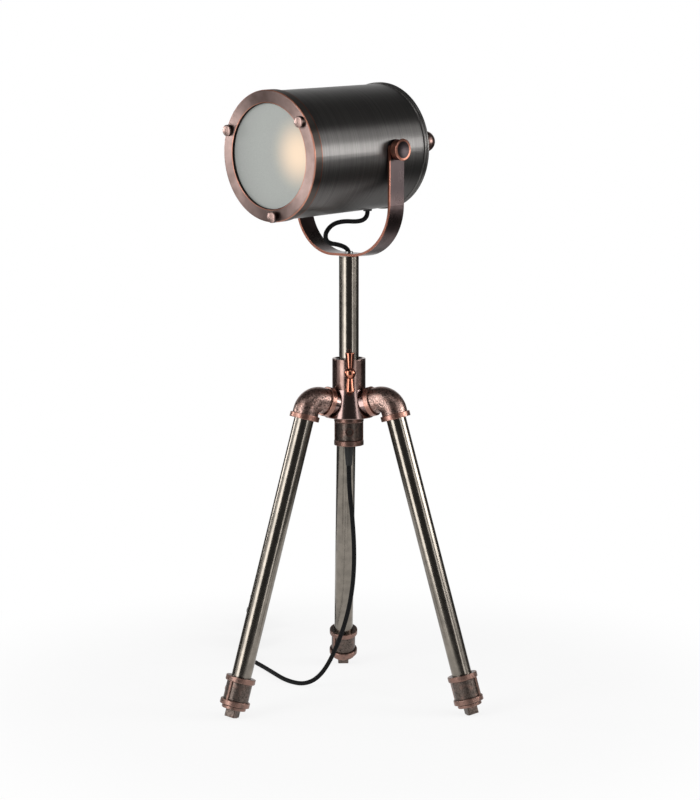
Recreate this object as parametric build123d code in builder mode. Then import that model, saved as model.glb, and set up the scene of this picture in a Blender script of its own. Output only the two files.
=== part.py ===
from build123d import *
import os
from math import cos, pi, radians, sin, tan

# Tabletop searchlight: a drum head in a yoke on a sliding mast, carried by a tripod of
# half-inch pipe and malleable iron fittings. Millimetres, +Z up, the origin on the table
# under the mast's axis. The rear leg points along +Y.

os.makedirs("parts", exist_ok=True)

# ---- fits ----
THREAD_FIT = 0.02  # radial play of a made-up screw thread
RUNNING_FIT = 0.08  # radial play of a sliding or turning shaft
FACE_GAP = 0.1  # play between flat faces that turn on each other

# ---- pipe and fittings ----
PIPE_R = 10.0
PIPE_BORE_R = 8.0
BAND_R = 15.0
BAND_LENGTH = 5.2
ENGAGEMENT = 12.0  # how far a pipe screws into a fitting
FITTING_BODY_R = 12.8
COUPLING_LENGTH = 29.0
RIB_R = 14.6
RIB_WIDTH = 3.0
RIB_DEPTH = 3.0
BOSS_RING_R = 4.2
BOSS_RING_WALL = 0.8
BOSS_RING_RISE = 0.8
ELBOW_ARM = 24.0  # from the hub port to the elbow's corner
ELBOW_OUTLET = 22.7  # from the corner to the leg's band
ELBOW_BODY_R = 13.0
ELBOW_BEND_R = 14.0
NIPPLE_ENGAGEMENT = 9.6

# ---- legs ----
LEG_AZIMUTHS = {"left": 210.0, "right": 330.0, "rear": 90.0}
BOSS_TURNS = {"left": 70.0, "right": -92.0, "rear": -40.0}
SQUARE_TURNS = {"left": 64.0, "right": 42.0, "rear": 0.0}
LEAN = 16.3
LEG_VISIBLE = 263.6
PLUG_FLANGE_R = 12.2
PLUG_FLANGE = 2.8
PLUG_GROOVE_R = 9.6
PLUG_GROOVE = 0.9
PLUG_SQUARE = 11.2
PLUG_SQUARE_LENGTH = 8.2
FOOT_LIFT = 0.888  # height of the square end's centre over the table

# ---- hub, collar and mast ----
HUB_PORT_R = 11.8
HUB_PORT_REACH = 23.73
HUB_BELOW_PORT = 16.2
HUB_HEIGHT = 28.6
HUB_BOTTOM_R = 25.0
HUB_EDGE = 1.0
COLLAR_R = 16.9
COLLAR_HEIGHT = 30.9
COLLAR_FLOOR = 3.0
HUB_BORE_R = 10.4
SPIGOT_BORE_R = 8.2
MAST_STOP = 1.0  # floor left under the mast in the hub
MAST_STOP_PLAY = 0.4
MAST_SHOWN = 102.5
BUSH_R = 13.7
BUSH_RECESS = 6.5
MAST_PLUG_LENGTH = 14.0
WASHER_THICKNESS = 0.5

# ---- clamp ----
CLAMP_DROP = 12.8
CLAMP_SCREW_R = 2.5
CLAMP_BALL_REACH = 6.1
CLAMP_BALL_R = 5.9
CLAMP_TIP_GAP = 0.15
BAR_UP = 21.0
BAR_DOWN = 18.8
BAR_NECK_R = 3.0
BAR_END_R = 4.8
BAR_HOLE_R = 2.4
BAR_SEAT = 0.6  # how far the bar's arms sink into the ball

# ---- yoke ----
YOKE_YAW = 47.0
YOKE_HEIGHT = 105.9
YOKE_THICKNESS = 2.5
YOKE_STRAP_WIDTH = 20.5
YOKE_CORNER_R = 52.0
PIVOT_STUD_R = 2.9
PIVOT_HOLE_R = 3.1
PIVOT_WASHER = 0.8
LEAD_STUD_HEAD_R = 4.1
LEAD_STUD_HEAD = 1.8
LEAD_STUD_R = 3.4

# ---- head ----
HEAD_TILT = 3.0
SHADE_R = 62.0
SHEET = 1.0
HEAD_FRONT = 110.4
HEAD_REAR = -49.5
RIM_STEP = 1.4
BEZEL_BORDER = 11.4
GLASS_LAP = 3.4
GLASS_THICKNESS = 3.0
BEZEL_FACE = 2.6
BEZEL_SKIRT = 10.5
BEZEL_SCREW_INSET = 4.0
BEZEL_SCREW_ANGLES = (35.0, 155.0, 275.0)
BEZEL_SCREW_R = 1.5
SCREW_HEAD_R = 5.5
RIM_BEAD = 3.2
DOME_DEPTH = 22.0
HANDLE_BALL_CENTRE = -111.3
HANDLE_BALL_R = 11.0
HANDLE_STEM_R = 3.6
KNOB_BASE_R = 10.0
KNOB_RIM_R = 10.75
KNOB_LENGTH = 9.0
INSERT_THICKNESS = 5.8
LEAD_EXIT = -23.6  # where the lead leaves the shade, behind the pivot
GROMMET_R = 3.4
GROMMET_FLARE = 0.5  # how far the bore opens at its mouth, for the lead's bend

# ---- lampholder and bulb ----
BRACKET_Z = -22.0
BRACKET_THICKNESS = 1.5
HOLDER_R = 19.0
HOLDER_BORE_R = 16.2
HOLDER_LENGTH = 46.0
HOLDER_FLOOR = 8.0
HOLDER_BACK_R = 14.0
SHELL_R = 14.2
SHELL_WALL = 0.6
SHELL_LENGTH = 34.0
NIPPLE_R = 5.0
CAP_R = 13.0
CAP_LENGTH = 24.5
BULB_CENTRE = 58.5
BULB_R = 22.5

# ---- cords ----
CORD_R = 2.3
RELIEF_LENGTH = 21.2
CORD_LENGTH = 1500.0

# ---- places that follow from the sizes ----
PLUG_END = LEG_VISIBLE + COUPLING_LENGTH + PLUG_GROOVE + PLUG_FLANGE + PLUG_SQUARE_LENGTH
LEG_TOP_Z = FOOT_LIFT + PLUG_END * cos(radians(LEAN))
LEG_TOP_R = HUB_PORT_REACH + ELBOW_ARM * cos(radians(LEAN)) + ELBOW_OUTLET * sin(radians(LEAN))
HUB_PORT_Z = LEG_TOP_Z + ELBOW_OUTLET * cos(radians(LEAN)) - ELBOW_ARM * sin(radians(LEAN))
HUB_BOTTOM_Z = HUB_PORT_Z - HUB_BELOW_PORT
HUB_TOP_Z = HUB_BOTTOM_Z + HUB_HEIGHT
COLLAR_TOP_Z = HUB_TOP_Z + COLLAR_HEIGHT
MAST_STOP_Z = HUB_BOTTOM_Z + MAST_STOP
BUSH_TOP_Z = COLLAR_TOP_Z - BUSH_RECESS
MAST_TOP_Z = COLLAR_TOP_Z + MAST_SHOWN
CLAMP_Z = COLLAR_TOP_Z - CLAMP_DROP
CLAMP_BALL_Y = -COLLAR_R - CLAMP_BALL_REACH
YOKE_BOTTOM_Z = MAST_TOP_Z + WASHER_THICKNESS + FACE_GAP
LEAD_STUD_TOP_Z = YOKE_BOTTOM_Z + YOKE_THICKNESS + LEAD_STUD_HEAD
LEAD_STUD_BORE_R = CORD_R + 0.35
PIVOT_Z = YOKE_BOTTOM_Z + YOKE_HEIGHT
YOKE_HALF_WIDTH = SHADE_R + PIVOT_WASHER + FACE_GAP + YOKE_THICKNESS
RIM_R = SHADE_R + RIM_STEP
GLASS_OPENING_R = SHADE_R - BEZEL_BORDER
GLASS_R = GLASS_OPENING_R + GLASS_LAP
BEZEL_SCREW_CIRCLE_R = SHADE_R - BEZEL_SCREW_INSET

HEADING = Vector(-sin(radians(YOKE_YAW)), -cos(radians(YOKE_YAW)), 0)
ACROSS = Vector(cos(radians(YOKE_YAW)), -sin(radians(YOKE_YAW)), 0)
BEAM = HEADING * cos(radians(HEAD_TILT)) - Vector(0, 0, sin(radians(HEAD_TILT)))
PIVOT = Vector(0, 0, PIVOT_Z)

BASE = Plane.XY
YOKE = Plane(origin=(0, 0, 0), x_dir=ACROSS, z_dir=HEADING)
HEAD = Plane(origin=PIVOT, x_dir=ACROSS, z_dir=BEAM)
CLAMP = Plane(origin=(0, 0, CLAMP_Z), x_dir=(1, 0, 0), z_dir=(0, -1, 0))


def finish(piece, name):
    """Label a piece and write it to its own file."""
    piece.part.label = name
    export_step(piece.part, f"parts/{name}.step")


def place(seat, x=0.0, y=0.0, z=0.0, along=None, across=None):
    """A plane at a local point of seat; along and across are its z and x in local terms."""
    origin = seat.from_local_coords(Vector(x, y, z))
    z_dir = seat.z_dir if along is None else seat.from_local_coords(Vector(*along)) - seat.origin
    x_dir = seat.x_dir if across is None else seat.from_local_coords(Vector(*across)) - seat.origin
    return Plane(origin=origin, x_dir=x_dir, z_dir=z_dir)


def turned(outline, seat):
    """A solid of revolution about seat's z.

    The outline is a closed run of (radius, height) corners; an entry holding two such
    pairs is an arc through the first to the second.
    """
    section = Plane(origin=seat.origin, x_dir=seat.x_dir, z_dir=-seat.y_dir)
    with BuildPart() as body:
        with BuildSketch(section):
            with BuildLine():
                here = outline[0]
                for step in outline[1:] + [outline[0]]:
                    if isinstance(step[0], tuple):
                        ThreePointArc(here, step[0], step[1])
                        here = step[1]
                    else:
                        Line(here, step)
                        here = step
            make_face()
        revolve(axis=Axis(seat.origin, seat.z_dir))
    return body


def cap(radius, edge, crown):
    """An arc from (radius, edge) to the axis at crown, square to the axis there."""
    rise = crown - edge
    sphere = (radius**2 + rise**2) / (2 * abs(rise))
    side = 1 if rise > 0 else -1
    middle = crown - side * sphere + side * (sphere**2 - radius**2 / 4) ** 0.5
    return ((radius / 2, middle), (0, crown))


def cord_radii(points, label):
    """The arc at each corner of a cord's route, as large as its two runs allow."""
    spots = [Vector(*point) for point in points]
    radii = []
    for before, corner, after in zip(spots, spots[1:], spots[2:]):
        turn = radians((corner - before).get_angle(after - corner))
        shorter = min((corner - before).length, (after - corner).length)
        radii.append(0.45 * shorter / tan(turn / 2))
    print(label, "radii in diameters", [round(radius / (2 * CORD_R), 1) for radius in radii])
    return radii


def cord_tube(points, label):
    """A round cord along straight runs joined by tangent arcs."""
    start = Vector(*points[0])
    with BuildPart() as tube:
        with BuildLine() as route:
            FilletPolyline(*points, radius=cord_radii(points, label))
        with BuildSketch(Plane(origin=start, z_dir=route.line % 0)):
            Circle(CORD_R)
        sweep()
    length = sum(edge.length for edge in route.line.edges())
    ideal = pi * CORD_R**2 * length
    print(label, "length", round(length, 1), "volume ratio", round(tube.part.volume / ideal, 4))
    return tube, length


# ---- fittings and legs ----


def coupling(seat, name, boss_turn):
    """A banded, ribbed coupling whose upper face is seat's origin and whose body runs along z."""
    lower = COUPLING_LENGTH - BAND_LENGTH
    seat_depth = ENGAGEMENT
    outline = [
        (PIPE_R + THREAD_FIT, 0),
        (BAND_R - 0.6, 0),
        ((BAND_R - 0.17, 0.17), (BAND_R, 0.6)),
        (BAND_R, BAND_LENGTH - 0.8),
        ((BAND_R - 0.25, BAND_LENGTH - 0.2), (FITTING_BODY_R, BAND_LENGTH)),
        (FITTING_BODY_R, lower),
        ((BAND_R - 0.25, lower + 0.2), (BAND_R, lower + 0.8)),
        (BAND_R, COUPLING_LENGTH - 0.6),
        ((BAND_R - 0.17, COUPLING_LENGTH - 0.17), (BAND_R - 0.6, COUPLING_LENGTH)),
        (PIPE_R + THREAD_FIT, COUPLING_LENGTH),
        (PIPE_R + THREAD_FIT, COUPLING_LENGTH - seat_depth),
        (PIPE_BORE_R + 0.6, COUPLING_LENGTH - seat_depth),
        (PIPE_BORE_R + 0.6, seat_depth),
        (PIPE_R + THREAD_FIT, seat_depth),
    ]
    ribs = [place(seat, z=BAND_LENGTH - 1, across=(cos(radians(t)), sin(radians(t)), 0))
            for t in (boss_turn + 90, boss_turn - 90)]
    toward = (cos(radians(boss_turn)), sin(radians(boss_turn)), 0)
    sunk = FITTING_BODY_R - 1.2
    boss = place(seat, x=toward[0] * sunk, y=toward[1] * sunk, z=COUPLING_LENGTH / 2,
                 along=toward, across=(0, 0, 1))
    with BuildPart() as fitting:
        add(turned(outline, seat).part)
        for rib in ribs:
            with BuildSketch(rib):
                with Locations((RIB_R - RIB_DEPTH / 2, 0)):
                    RectangleRounded(RIB_DEPTH, RIB_WIDTH, 0.9)
            extrude(amount=COUPLING_LENGTH - 2 * BAND_LENGTH + 2)
        with BuildSketch(boss):
            Circle(BOSS_RING_R)
            Circle(BOSS_RING_R - BOSS_RING_WALL, mode=Mode.SUBTRACT)
        extrude(amount=1.2 + BOSS_RING_RISE)
    finish(fitting, name)


def elbow(port, name):
    """A banded right-angle elbow: port's origin is its hub face and port's z leads into it."""
    arm = ELBOW_ARM - ELBOW_BEND_R
    path_plane = Plane(origin=port.origin, x_dir=port.z_dir, z_dir=port.y_dir)
    outlet = place(port, x=-ELBOW_OUTLET, z=ELBOW_ARM, along=(1, 0, 0), across=(0, 1, 0))
    inward = ELBOW_BEND_R * (1 - cos(radians(45)))
    sunk = ELBOW_BODY_R - 1.2
    flanks = [place(port, x=-inward, y=sign * sunk, z=ELBOW_ARM - inward, along=(0, sign, 0),
                    across=(0, 0, 1)) for sign in (-1, 1)]
    with BuildPart() as fitting:
        with BuildLine(path_plane) as bend:
            inlet_run = Line((0, 0), (arm, 0))
            turn = RadiusArc(inlet_run @ 1, (ELBOW_ARM, -ELBOW_BEND_R), ELBOW_BEND_R)
            Line(turn @ 1, (ELBOW_ARM, -ELBOW_OUTLET))
        with BuildSketch(port):
            Circle(ELBOW_BODY_R)
        sweep()
        for face in (port, outlet):
            with BuildSketch(face):
                Circle(BAND_R)
            extrude(amount=BAND_LENGTH)
        fillet(fitting.edges().filter_by(GeomType.CIRCLE).filter_by(lambda e: e.radius > BAND_R - 0.1), 0.5)
        for flank in flanks:
            with BuildSketch(flank):
                Circle(BOSS_RING_R)
                Circle(BOSS_RING_R - BOSS_RING_WALL, mode=Mode.SUBTRACT)
            extrude(amount=1.2 + BOSS_RING_RISE / 2)
        with BuildSketch(port):
            Circle(PIPE_BORE_R)
        sweep(path=bend.line, mode=Mode.SUBTRACT)
        with BuildSketch(port):
            Circle(PIPE_R + THREAD_FIT)
        extrude(amount=NIPPLE_ENGAGEMENT, mode=Mode.SUBTRACT)
        with BuildSketch(outlet):
            Circle(PIPE_R + THREAD_FIT)
        extrude(amount=ENGAGEMENT, mode=Mode.SUBTRACT)
    finish(fitting, name)


ports = {}
for side, azimuth in LEG_AZIMUTHS.items():
    outward = Vector(cos(radians(azimuth)), sin(radians(azimuth)), 0)
    down_leg = outward * sin(radians(LEAN)) - Vector(0, 0, cos(radians(LEAN)))
    into_elbow = outward * cos(radians(LEAN)) + Vector(0, 0, sin(radians(LEAN)))
    port_centre = outward * HUB_PORT_REACH + Vector(0, 0, HUB_PORT_Z)
    port_plane = Plane(origin=port_centre, x_dir=-down_leg, z_dir=into_elbow)
    ports[side] = port_plane
    leg_plane = Plane(
        origin=outward * LEG_TOP_R + Vector(0, 0, LEG_TOP_Z),
        x_dir=outward * cos(radians(LEAN)) + Vector(0, 0, sin(radians(LEAN))),
        z_dir=down_leg,
    )
    elbow(port_plane, f"elbow_{side}")

    with BuildPart() as leg:
        with BuildSketch(place(leg_plane, z=-ENGAGEMENT)):
            Circle(PIPE_R)
            Circle(PIPE_BORE_R, mode=Mode.SUBTRACT)
        extrude(amount=LEG_VISIBLE + 2 * ENGAGEMENT)
    finish(leg, f"leg_{side}")

    foot_plane = place(leg_plane, z=LEG_VISIBLE)
    coupling(foot_plane, f"foot_coupling_{side}", BOSS_TURNS[side])

    flange_start = LEG_VISIBLE + COUPLING_LENGTH
    square_start = flange_start + PLUG_GROOVE + PLUG_FLANGE
    with BuildPart() as plug:
        add(turned(
            [
                (0, flange_start - ENGAGEMENT),
                (PIPE_R, flange_start - ENGAGEMENT),
                (PIPE_R, flange_start),
                (PLUG_GROOVE_R, flange_start),
                (PLUG_GROOVE_R, flange_start + PLUG_GROOVE),
                (PLUG_FLANGE_R, flange_start + PLUG_GROOVE),
                (PLUG_FLANGE_R, square_start - 0.5),
                (PLUG_FLANGE_R - 0.5, square_start),
                (0, square_start),
            ],
            leg_plane,
        ).part)
        with BuildSketch(place(leg_plane, z=square_start)):
            RectangleRounded(PLUG_SQUARE, PLUG_SQUARE, 1.2, rotation=SQUARE_TURNS[side])
        extrude(amount=PLUG_END - square_start)
        split(bisect_by=Plane.XY, keep=Keep.TOP)
    finish(plug, f"foot_plug_{side}")

with BuildPart() as pipe_nipples:
    for port_plane in ports.values():
        with BuildSketch(place(port_plane, z=-NIPPLE_ENGAGEMENT)):
            Circle(PIPE_R)
            Circle(PIPE_BORE_R, mode=Mode.SUBTRACT)
        extrude(amount=2 * NIPPLE_ENGAGEMENT)
finish(pipe_nipples, "pipe_nipples")

# ---- hub ----
with BuildPart() as hub:
    add(turned(
        [
            (0, HUB_BOTTOM_Z - ENGAGEMENT),
            (PIPE_R, HUB_BOTTOM_Z - ENGAGEMENT),
            (PIPE_R, HUB_BOTTOM_Z),
            (HUB_BOTTOM_R - HUB_EDGE, HUB_BOTTOM_Z),
            ((HUB_BOTTOM_R - 0.25, HUB_BOTTOM_Z + 0.3), (HUB_BOTTOM_R, HUB_BOTTOM_Z + HUB_EDGE)),
            (COLLAR_R - 0.2, HUB_TOP_Z),
            (0, HUB_TOP_Z),
        ],
        BASE,
    ).part)
    for port_plane in ports.values():
        with BuildSketch(port_plane):
            Circle(HUB_PORT_R)
        extrude(amount=-NIPPLE_ENGAGEMENT - 0.3)
    with BuildSketch(Plane.XY.offset(HUB_TOP_Z)):
        Circle(HUB_BORE_R)
    extrude(amount=MAST_STOP_Z - HUB_TOP_Z, mode=Mode.SUBTRACT)
    with BuildSketch(Plane.XY.offset(HUB_TOP_Z)):
        Circle(SPIGOT_BORE_R)
    extrude(amount=-60, mode=Mode.SUBTRACT)
    for port_plane in ports.values():
        with BuildSketch(port_plane):
            Circle(PIPE_R + THREAD_FIT)
        extrude(amount=-NIPPLE_ENGAGEMENT, mode=Mode.SUBTRACT)
        with BuildSketch(port_plane):
            Circle(PIPE_BORE_R)
        extrude(amount=-HUB_PORT_REACH + 6, mode=Mode.SUBTRACT)
finish(hub, "hub")

coupling(Plane(origin=(0, 0, HUB_BOTTOM_Z), x_dir=(1, 0, 0), z_dir=(0, 0, -1)), "bottom_coupling", 90.0)

# ---- collar and its clamp ----
with BuildPart() as collar:
    add(turned(
        [
            (HUB_BORE_R, HUB_TOP_Z),
            (COLLAR_R, HUB_TOP_Z),
            (COLLAR_R, COLLAR_TOP_Z - 1.0),
            ((COLLAR_R - 0.3, COLLAR_TOP_Z - 0.3), (COLLAR_R - 1.0, COLLAR_TOP_Z)),
            (BUSH_R + THREAD_FIT + 0.5, COLLAR_TOP_Z),
            (BUSH_R + THREAD_FIT, COLLAR_TOP_Z - 0.5),
            (BUSH_R + THREAD_FIT, HUB_TOP_Z + COLLAR_FLOOR),
            (HUB_BORE_R, HUB_TOP_Z + COLLAR_FLOOR),
        ],
        BASE,
    ).part)
    with BuildSketch(CLAMP):
        Circle(CLAMP_SCREW_R + RUNNING_FIT)
    extrude(amount=30, mode=Mode.SUBTRACT)
finish(collar, "collar")

with BuildPart() as guide_bush:
    add(turned(
        [
            (PIPE_R + RUNNING_FIT, HUB_TOP_Z + COLLAR_FLOOR),
            (BUSH_R, HUB_TOP_Z + COLLAR_FLOOR),
            (BUSH_R, BUSH_TOP_Z),
            (PIPE_R + RUNNING_FIT + 0.8, BUSH_TOP_Z),
            (PIPE_R + RUNNING_FIT, BUSH_TOP_Z - 0.8),
        ],
        BASE,
    ).part)
    with BuildSketch(CLAMP):
        Circle(CLAMP_SCREW_R + RUNNING_FIT)
    extrude(amount=30, mode=Mode.SUBTRACT)
finish(guide_bush, "guide_bush")

screw_tip = PIPE_R + CLAMP_TIP_GAP
with BuildPart() as clamp_screw:
    add(turned(
        [
            (0, screw_tip),
            (CLAMP_SCREW_R - 0.5, screw_tip),
            (CLAMP_SCREW_R, screw_tip + 0.5),
            (CLAMP_SCREW_R, -CLAMP_BALL_Y),
            (0, -CLAMP_BALL_Y),
        ],
        CLAMP,
    ).part)
    with Locations(Location((0, CLAMP_BALL_Y, CLAMP_Z))):
        Sphere(CLAMP_BALL_R)
    with BuildSketch(Plane.XY.offset(CLAMP_Z - 10)):
        with Locations((0, CLAMP_BALL_Y)):
            Circle(BAR_HOLE_R)
    extrude(amount=20, mode=Mode.SUBTRACT)
finish(clamp_screw, "clamp_screw")

bar_seat = Plane(origin=(0, CLAMP_BALL_Y, CLAMP_Z), x_dir=(1, 0, 0), z_dir=(0, 0, 1))
clamp_bar = turned(
    [
        (0, -BAR_DOWN),
        (BAR_END_R - 0.9, -BAR_DOWN),
        ((BAR_END_R - 0.2, -BAR_DOWN + 0.35), (BAR_END_R, -BAR_DOWN + 1.2)),
        (BAR_NECK_R, -CLAMP_BALL_R + BAR_SEAT),
        (BAR_HOLE_R, -CLAMP_BALL_R + BAR_SEAT),
        (BAR_HOLE_R, CLAMP_BALL_R - BAR_SEAT),
        (BAR_NECK_R, CLAMP_BALL_R - BAR_SEAT),
        (BAR_END_R, BAR_UP - 1.2),
        ((BAR_END_R - 0.2, BAR_UP - 0.35), (BAR_END_R - 0.9, BAR_UP)),
        (0, BAR_UP),
    ],
    bar_seat,
)
finish(clamp_bar, "clamp_bar")

# ---- mast ----
with BuildPart() as mast_tube:
    with BuildSketch(Plane.XY.offset(MAST_STOP_Z + MAST_STOP_PLAY)):
        Circle(PIPE_R)
        Circle(PIPE_BORE_R, mode=Mode.SUBTRACT)
    extrude(amount=MAST_TOP_Z - MAST_STOP_Z - MAST_STOP_PLAY)
    chamfer(mast_tube.faces().sort_by(Axis.Z)[-1].outer_wire().edges(), 0.4)
finish(mast_tube, "mast_tube")

with BuildPart() as mast_plug:
    with BuildSketch(Plane.XY.offset(MAST_TOP_Z - MAST_PLUG_LENGTH)):
        Circle(PIPE_BORE_R)
        Circle(LEAD_STUD_R + THREAD_FIT, mode=Mode.SUBTRACT)
    extrude(amount=MAST_PLUG_LENGTH)
finish(mast_plug, "mast_plug")

with BuildPart() as swivel_washer:
    with BuildSketch(Plane.XY.offset(MAST_TOP_Z)):
        Circle(PIPE_R - 0.6)
        Circle(LEAD_STUD_R + THREAD_FIT, mode=Mode.SUBTRACT)
    extrude(amount=WASHER_THICKNESS)
finish(swivel_washer, "swivel_washer")

strap_top = YOKE_BOTTOM_Z + YOKE_THICKNESS
lead_stud = turned(
    [
        (LEAD_STUD_BORE_R, MAST_TOP_Z - MAST_PLUG_LENGTH),
        (LEAD_STUD_R, MAST_TOP_Z - MAST_PLUG_LENGTH),
        (LEAD_STUD_R, strap_top + FACE_GAP),
        (LEAD_STUD_HEAD_R, strap_top + FACE_GAP),
        (LEAD_STUD_HEAD_R, LEAD_STUD_TOP_Z - 0.3),
        (LEAD_STUD_HEAD_R - 0.3, LEAD_STUD_TOP_Z),
        (LEAD_STUD_HEAD_R - 0.4, LEAD_STUD_TOP_Z),
        (LEAD_STUD_BORE_R, LEAD_STUD_TOP_Z - 4.4),
    ],
    BASE,
)
finish(lead_stud, "lead_stud")

# ---- yoke ----
inner = YOKE_HALF_WIDTH - YOKE_THICKNESS
with BuildPart() as yoke_strap:
    with BuildSketch(YOKE):
        with BuildLine():
            outside = FilletPolyline(
                (-YOKE_HALF_WIDTH, PIVOT_Z),
                (-YOKE_HALF_WIDTH, YOKE_BOTTOM_Z),
                (YOKE_HALF_WIDTH, YOKE_BOTTOM_Z),
                (YOKE_HALF_WIDTH, PIVOT_Z),
                radius=YOKE_CORNER_R,
            )
            inside = FilletPolyline(
                (-inner, PIVOT_Z),
                (-inner, strap_top),
                (inner, strap_top),
                (inner, PIVOT_Z),
                radius=YOKE_CORNER_R - YOKE_THICKNESS,
            )
            Line(outside @ 0, inside @ 0)
            Line(outside @ 1, inside @ 1)
        make_face()
    extrude(amount=YOKE_STRAP_WIDTH / 2, both=True)
    for sign in (-1, 1):
        arm_end = place(YOKE, x=sign * inner, y=PIVOT_Z, along=(sign, 0, 0), across=(0, 0, 1))
        with BuildSketch(arm_end):
            Circle(YOKE_STRAP_WIDTH / 2)
        extrude(amount=YOKE_THICKNESS)
        with BuildSketch(arm_end):
            Circle(PIVOT_HOLE_R)
        extrude(amount=YOKE_THICKNESS, mode=Mode.SUBTRACT)
    with BuildSketch(Plane.XY.offset(YOKE_BOTTOM_Z - 1)):
        Circle(LEAD_STUD_R + RUNNING_FIT)
    extrude(amount=5, mode=Mode.SUBTRACT)
finish(yoke_strap, "yoke_strap")

# ---- head: shade, glass and bezel ----
tube_front = HEAD_FRONT - BEZEL_FACE
ring_back = tube_front - 7.0
glass_back = tube_front - 0.4 - GLASS_THICKNESS
gasket_back = glass_back - 0.8
gasket_r = GLASS_R + 1.4
shade_inner = SHADE_R - SHEET
cover_land = HEAD_REAR + SHEET + 0.3
with BuildPart() as shade_tube:
    with BuildSketch(place(HEAD, z=cover_land)):
        Circle(SHADE_R)
        Circle(shade_inner, mode=Mode.SUBTRACT)
    extrude(amount=tube_front - cover_land)
    for sign in (-1, 1):
        with BuildSketch(place(HEAD, along=(sign, 0, 0), across=(0, 0, 1))):
            Circle(PIVOT_STUD_R + 0.3)
        extrude(amount=SHADE_R + 5, mode=Mode.SUBTRACT)
    with BuildSketch(place(HEAD, z=LEAD_EXIT, along=(0, -1, 0), across=(1, 0, 0))):
        Circle(GROMMET_R)
    extrude(amount=SHADE_R + 5, mode=Mode.SUBTRACT)
finish(shade_tube, "shade_tube")

with BuildPart() as glass_retainer:
    add(turned(
        [
            (GLASS_OPENING_R, ring_back),
            (shade_inner, ring_back),
            (shade_inner, tube_front),
            (gasket_r + THREAD_FIT, tube_front),
            (gasket_r + THREAD_FIT, gasket_back),
            (GLASS_OPENING_R, gasket_back),
        ],
        HEAD,
    ).part)
    for angle in BEZEL_SCREW_ANGLES:
        spot = (BEZEL_SCREW_CIRCLE_R * cos(radians(angle)), BEZEL_SCREW_CIRCLE_R * sin(radians(angle)))
        with BuildSketch(place(HEAD, x=spot[0], y=spot[1], z=ring_back)):
            Circle(BEZEL_SCREW_R + THREAD_FIT)
        extrude(amount=10, mode=Mode.SUBTRACT)
finish(glass_retainer, "glass_retainer")

glass_gasket = turned(
    [
        (GLASS_OPENING_R + 0.8, gasket_back),
        (gasket_r, gasket_back),
        (gasket_r, tube_front),
        (GLASS_OPENING_R + 0.8, tube_front),
        (GLASS_OPENING_R + 0.8, tube_front - 0.4),
        (GLASS_R, tube_front - 0.4),
        (GLASS_R, glass_back),
        (GLASS_OPENING_R + 0.8, glass_back),
    ],
    HEAD,
)
finish(glass_gasket, "glass_gasket")

with BuildPart() as front_glass:
    with BuildSketch(place(HEAD, z=glass_back)):
        Circle(GLASS_R)
    extrude(amount=GLASS_THICKNESS)
finish(front_glass, "front_glass")

with BuildPart() as front_bezel:
    add(turned(
        [
            (GLASS_OPENING_R, tube_front),
            (SHADE_R + THREAD_FIT, tube_front),
            (SHADE_R + THREAD_FIT, HEAD_FRONT - BEZEL_SKIRT),
            (RIM_R, HEAD_FRONT - BEZEL_SKIRT),
            (RIM_R, HEAD_FRONT - 1.8),
            ((RIM_R - 0.5, HEAD_FRONT - 0.5), (RIM_R - 1.8, HEAD_FRONT)),
            (GLASS_OPENING_R + 0.9, HEAD_FRONT),
            ((GLASS_OPENING_R + 0.25, HEAD_FRONT - 0.25), (GLASS_OPENING_R, HEAD_FRONT - 0.9)),
        ],
        HEAD,
    ).part)
    for angle in BEZEL_SCREW_ANGLES:
        spot = (BEZEL_SCREW_CIRCLE_R * cos(radians(angle)), BEZEL_SCREW_CIRCLE_R * sin(radians(angle)))
        with BuildSketch(place(HEAD, x=spot[0], y=spot[1], z=tube_front)):
            Circle(BEZEL_SCREW_R + THREAD_FIT)
        extrude(amount=10, mode=Mode.SUBTRACT)
finish(front_bezel, "front_bezel")

with BuildPart() as bezel_screws:
    for angle in BEZEL_SCREW_ANGLES:
        spot = (BEZEL_SCREW_CIRCLE_R * cos(radians(angle)), BEZEL_SCREW_CIRCLE_R * sin(radians(angle)))
        add(turned(
            [
                (0, -8.0),
                (BEZEL_SCREW_R, -8.0),
                (BEZEL_SCREW_R, 0),
                (SCREW_HEAD_R - 0.8, 0),
                (SCREW_HEAD_R - 0.8, 0.8),
                (SCREW_HEAD_R, 1.1),
                (SCREW_HEAD_R, 4.2),
                ((SCREW_HEAD_R - 0.35, 5.0), (SCREW_HEAD_R - 1.2, 5.4)),
                cap(SCREW_HEAD_R - 1.2, 5.4, 5.8),
            ],
            place(HEAD, x=spot[0], y=spot[1], z=HEAD_FRONT),
        ).part)
finish(bezel_screws, "bezel_screws")

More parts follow.
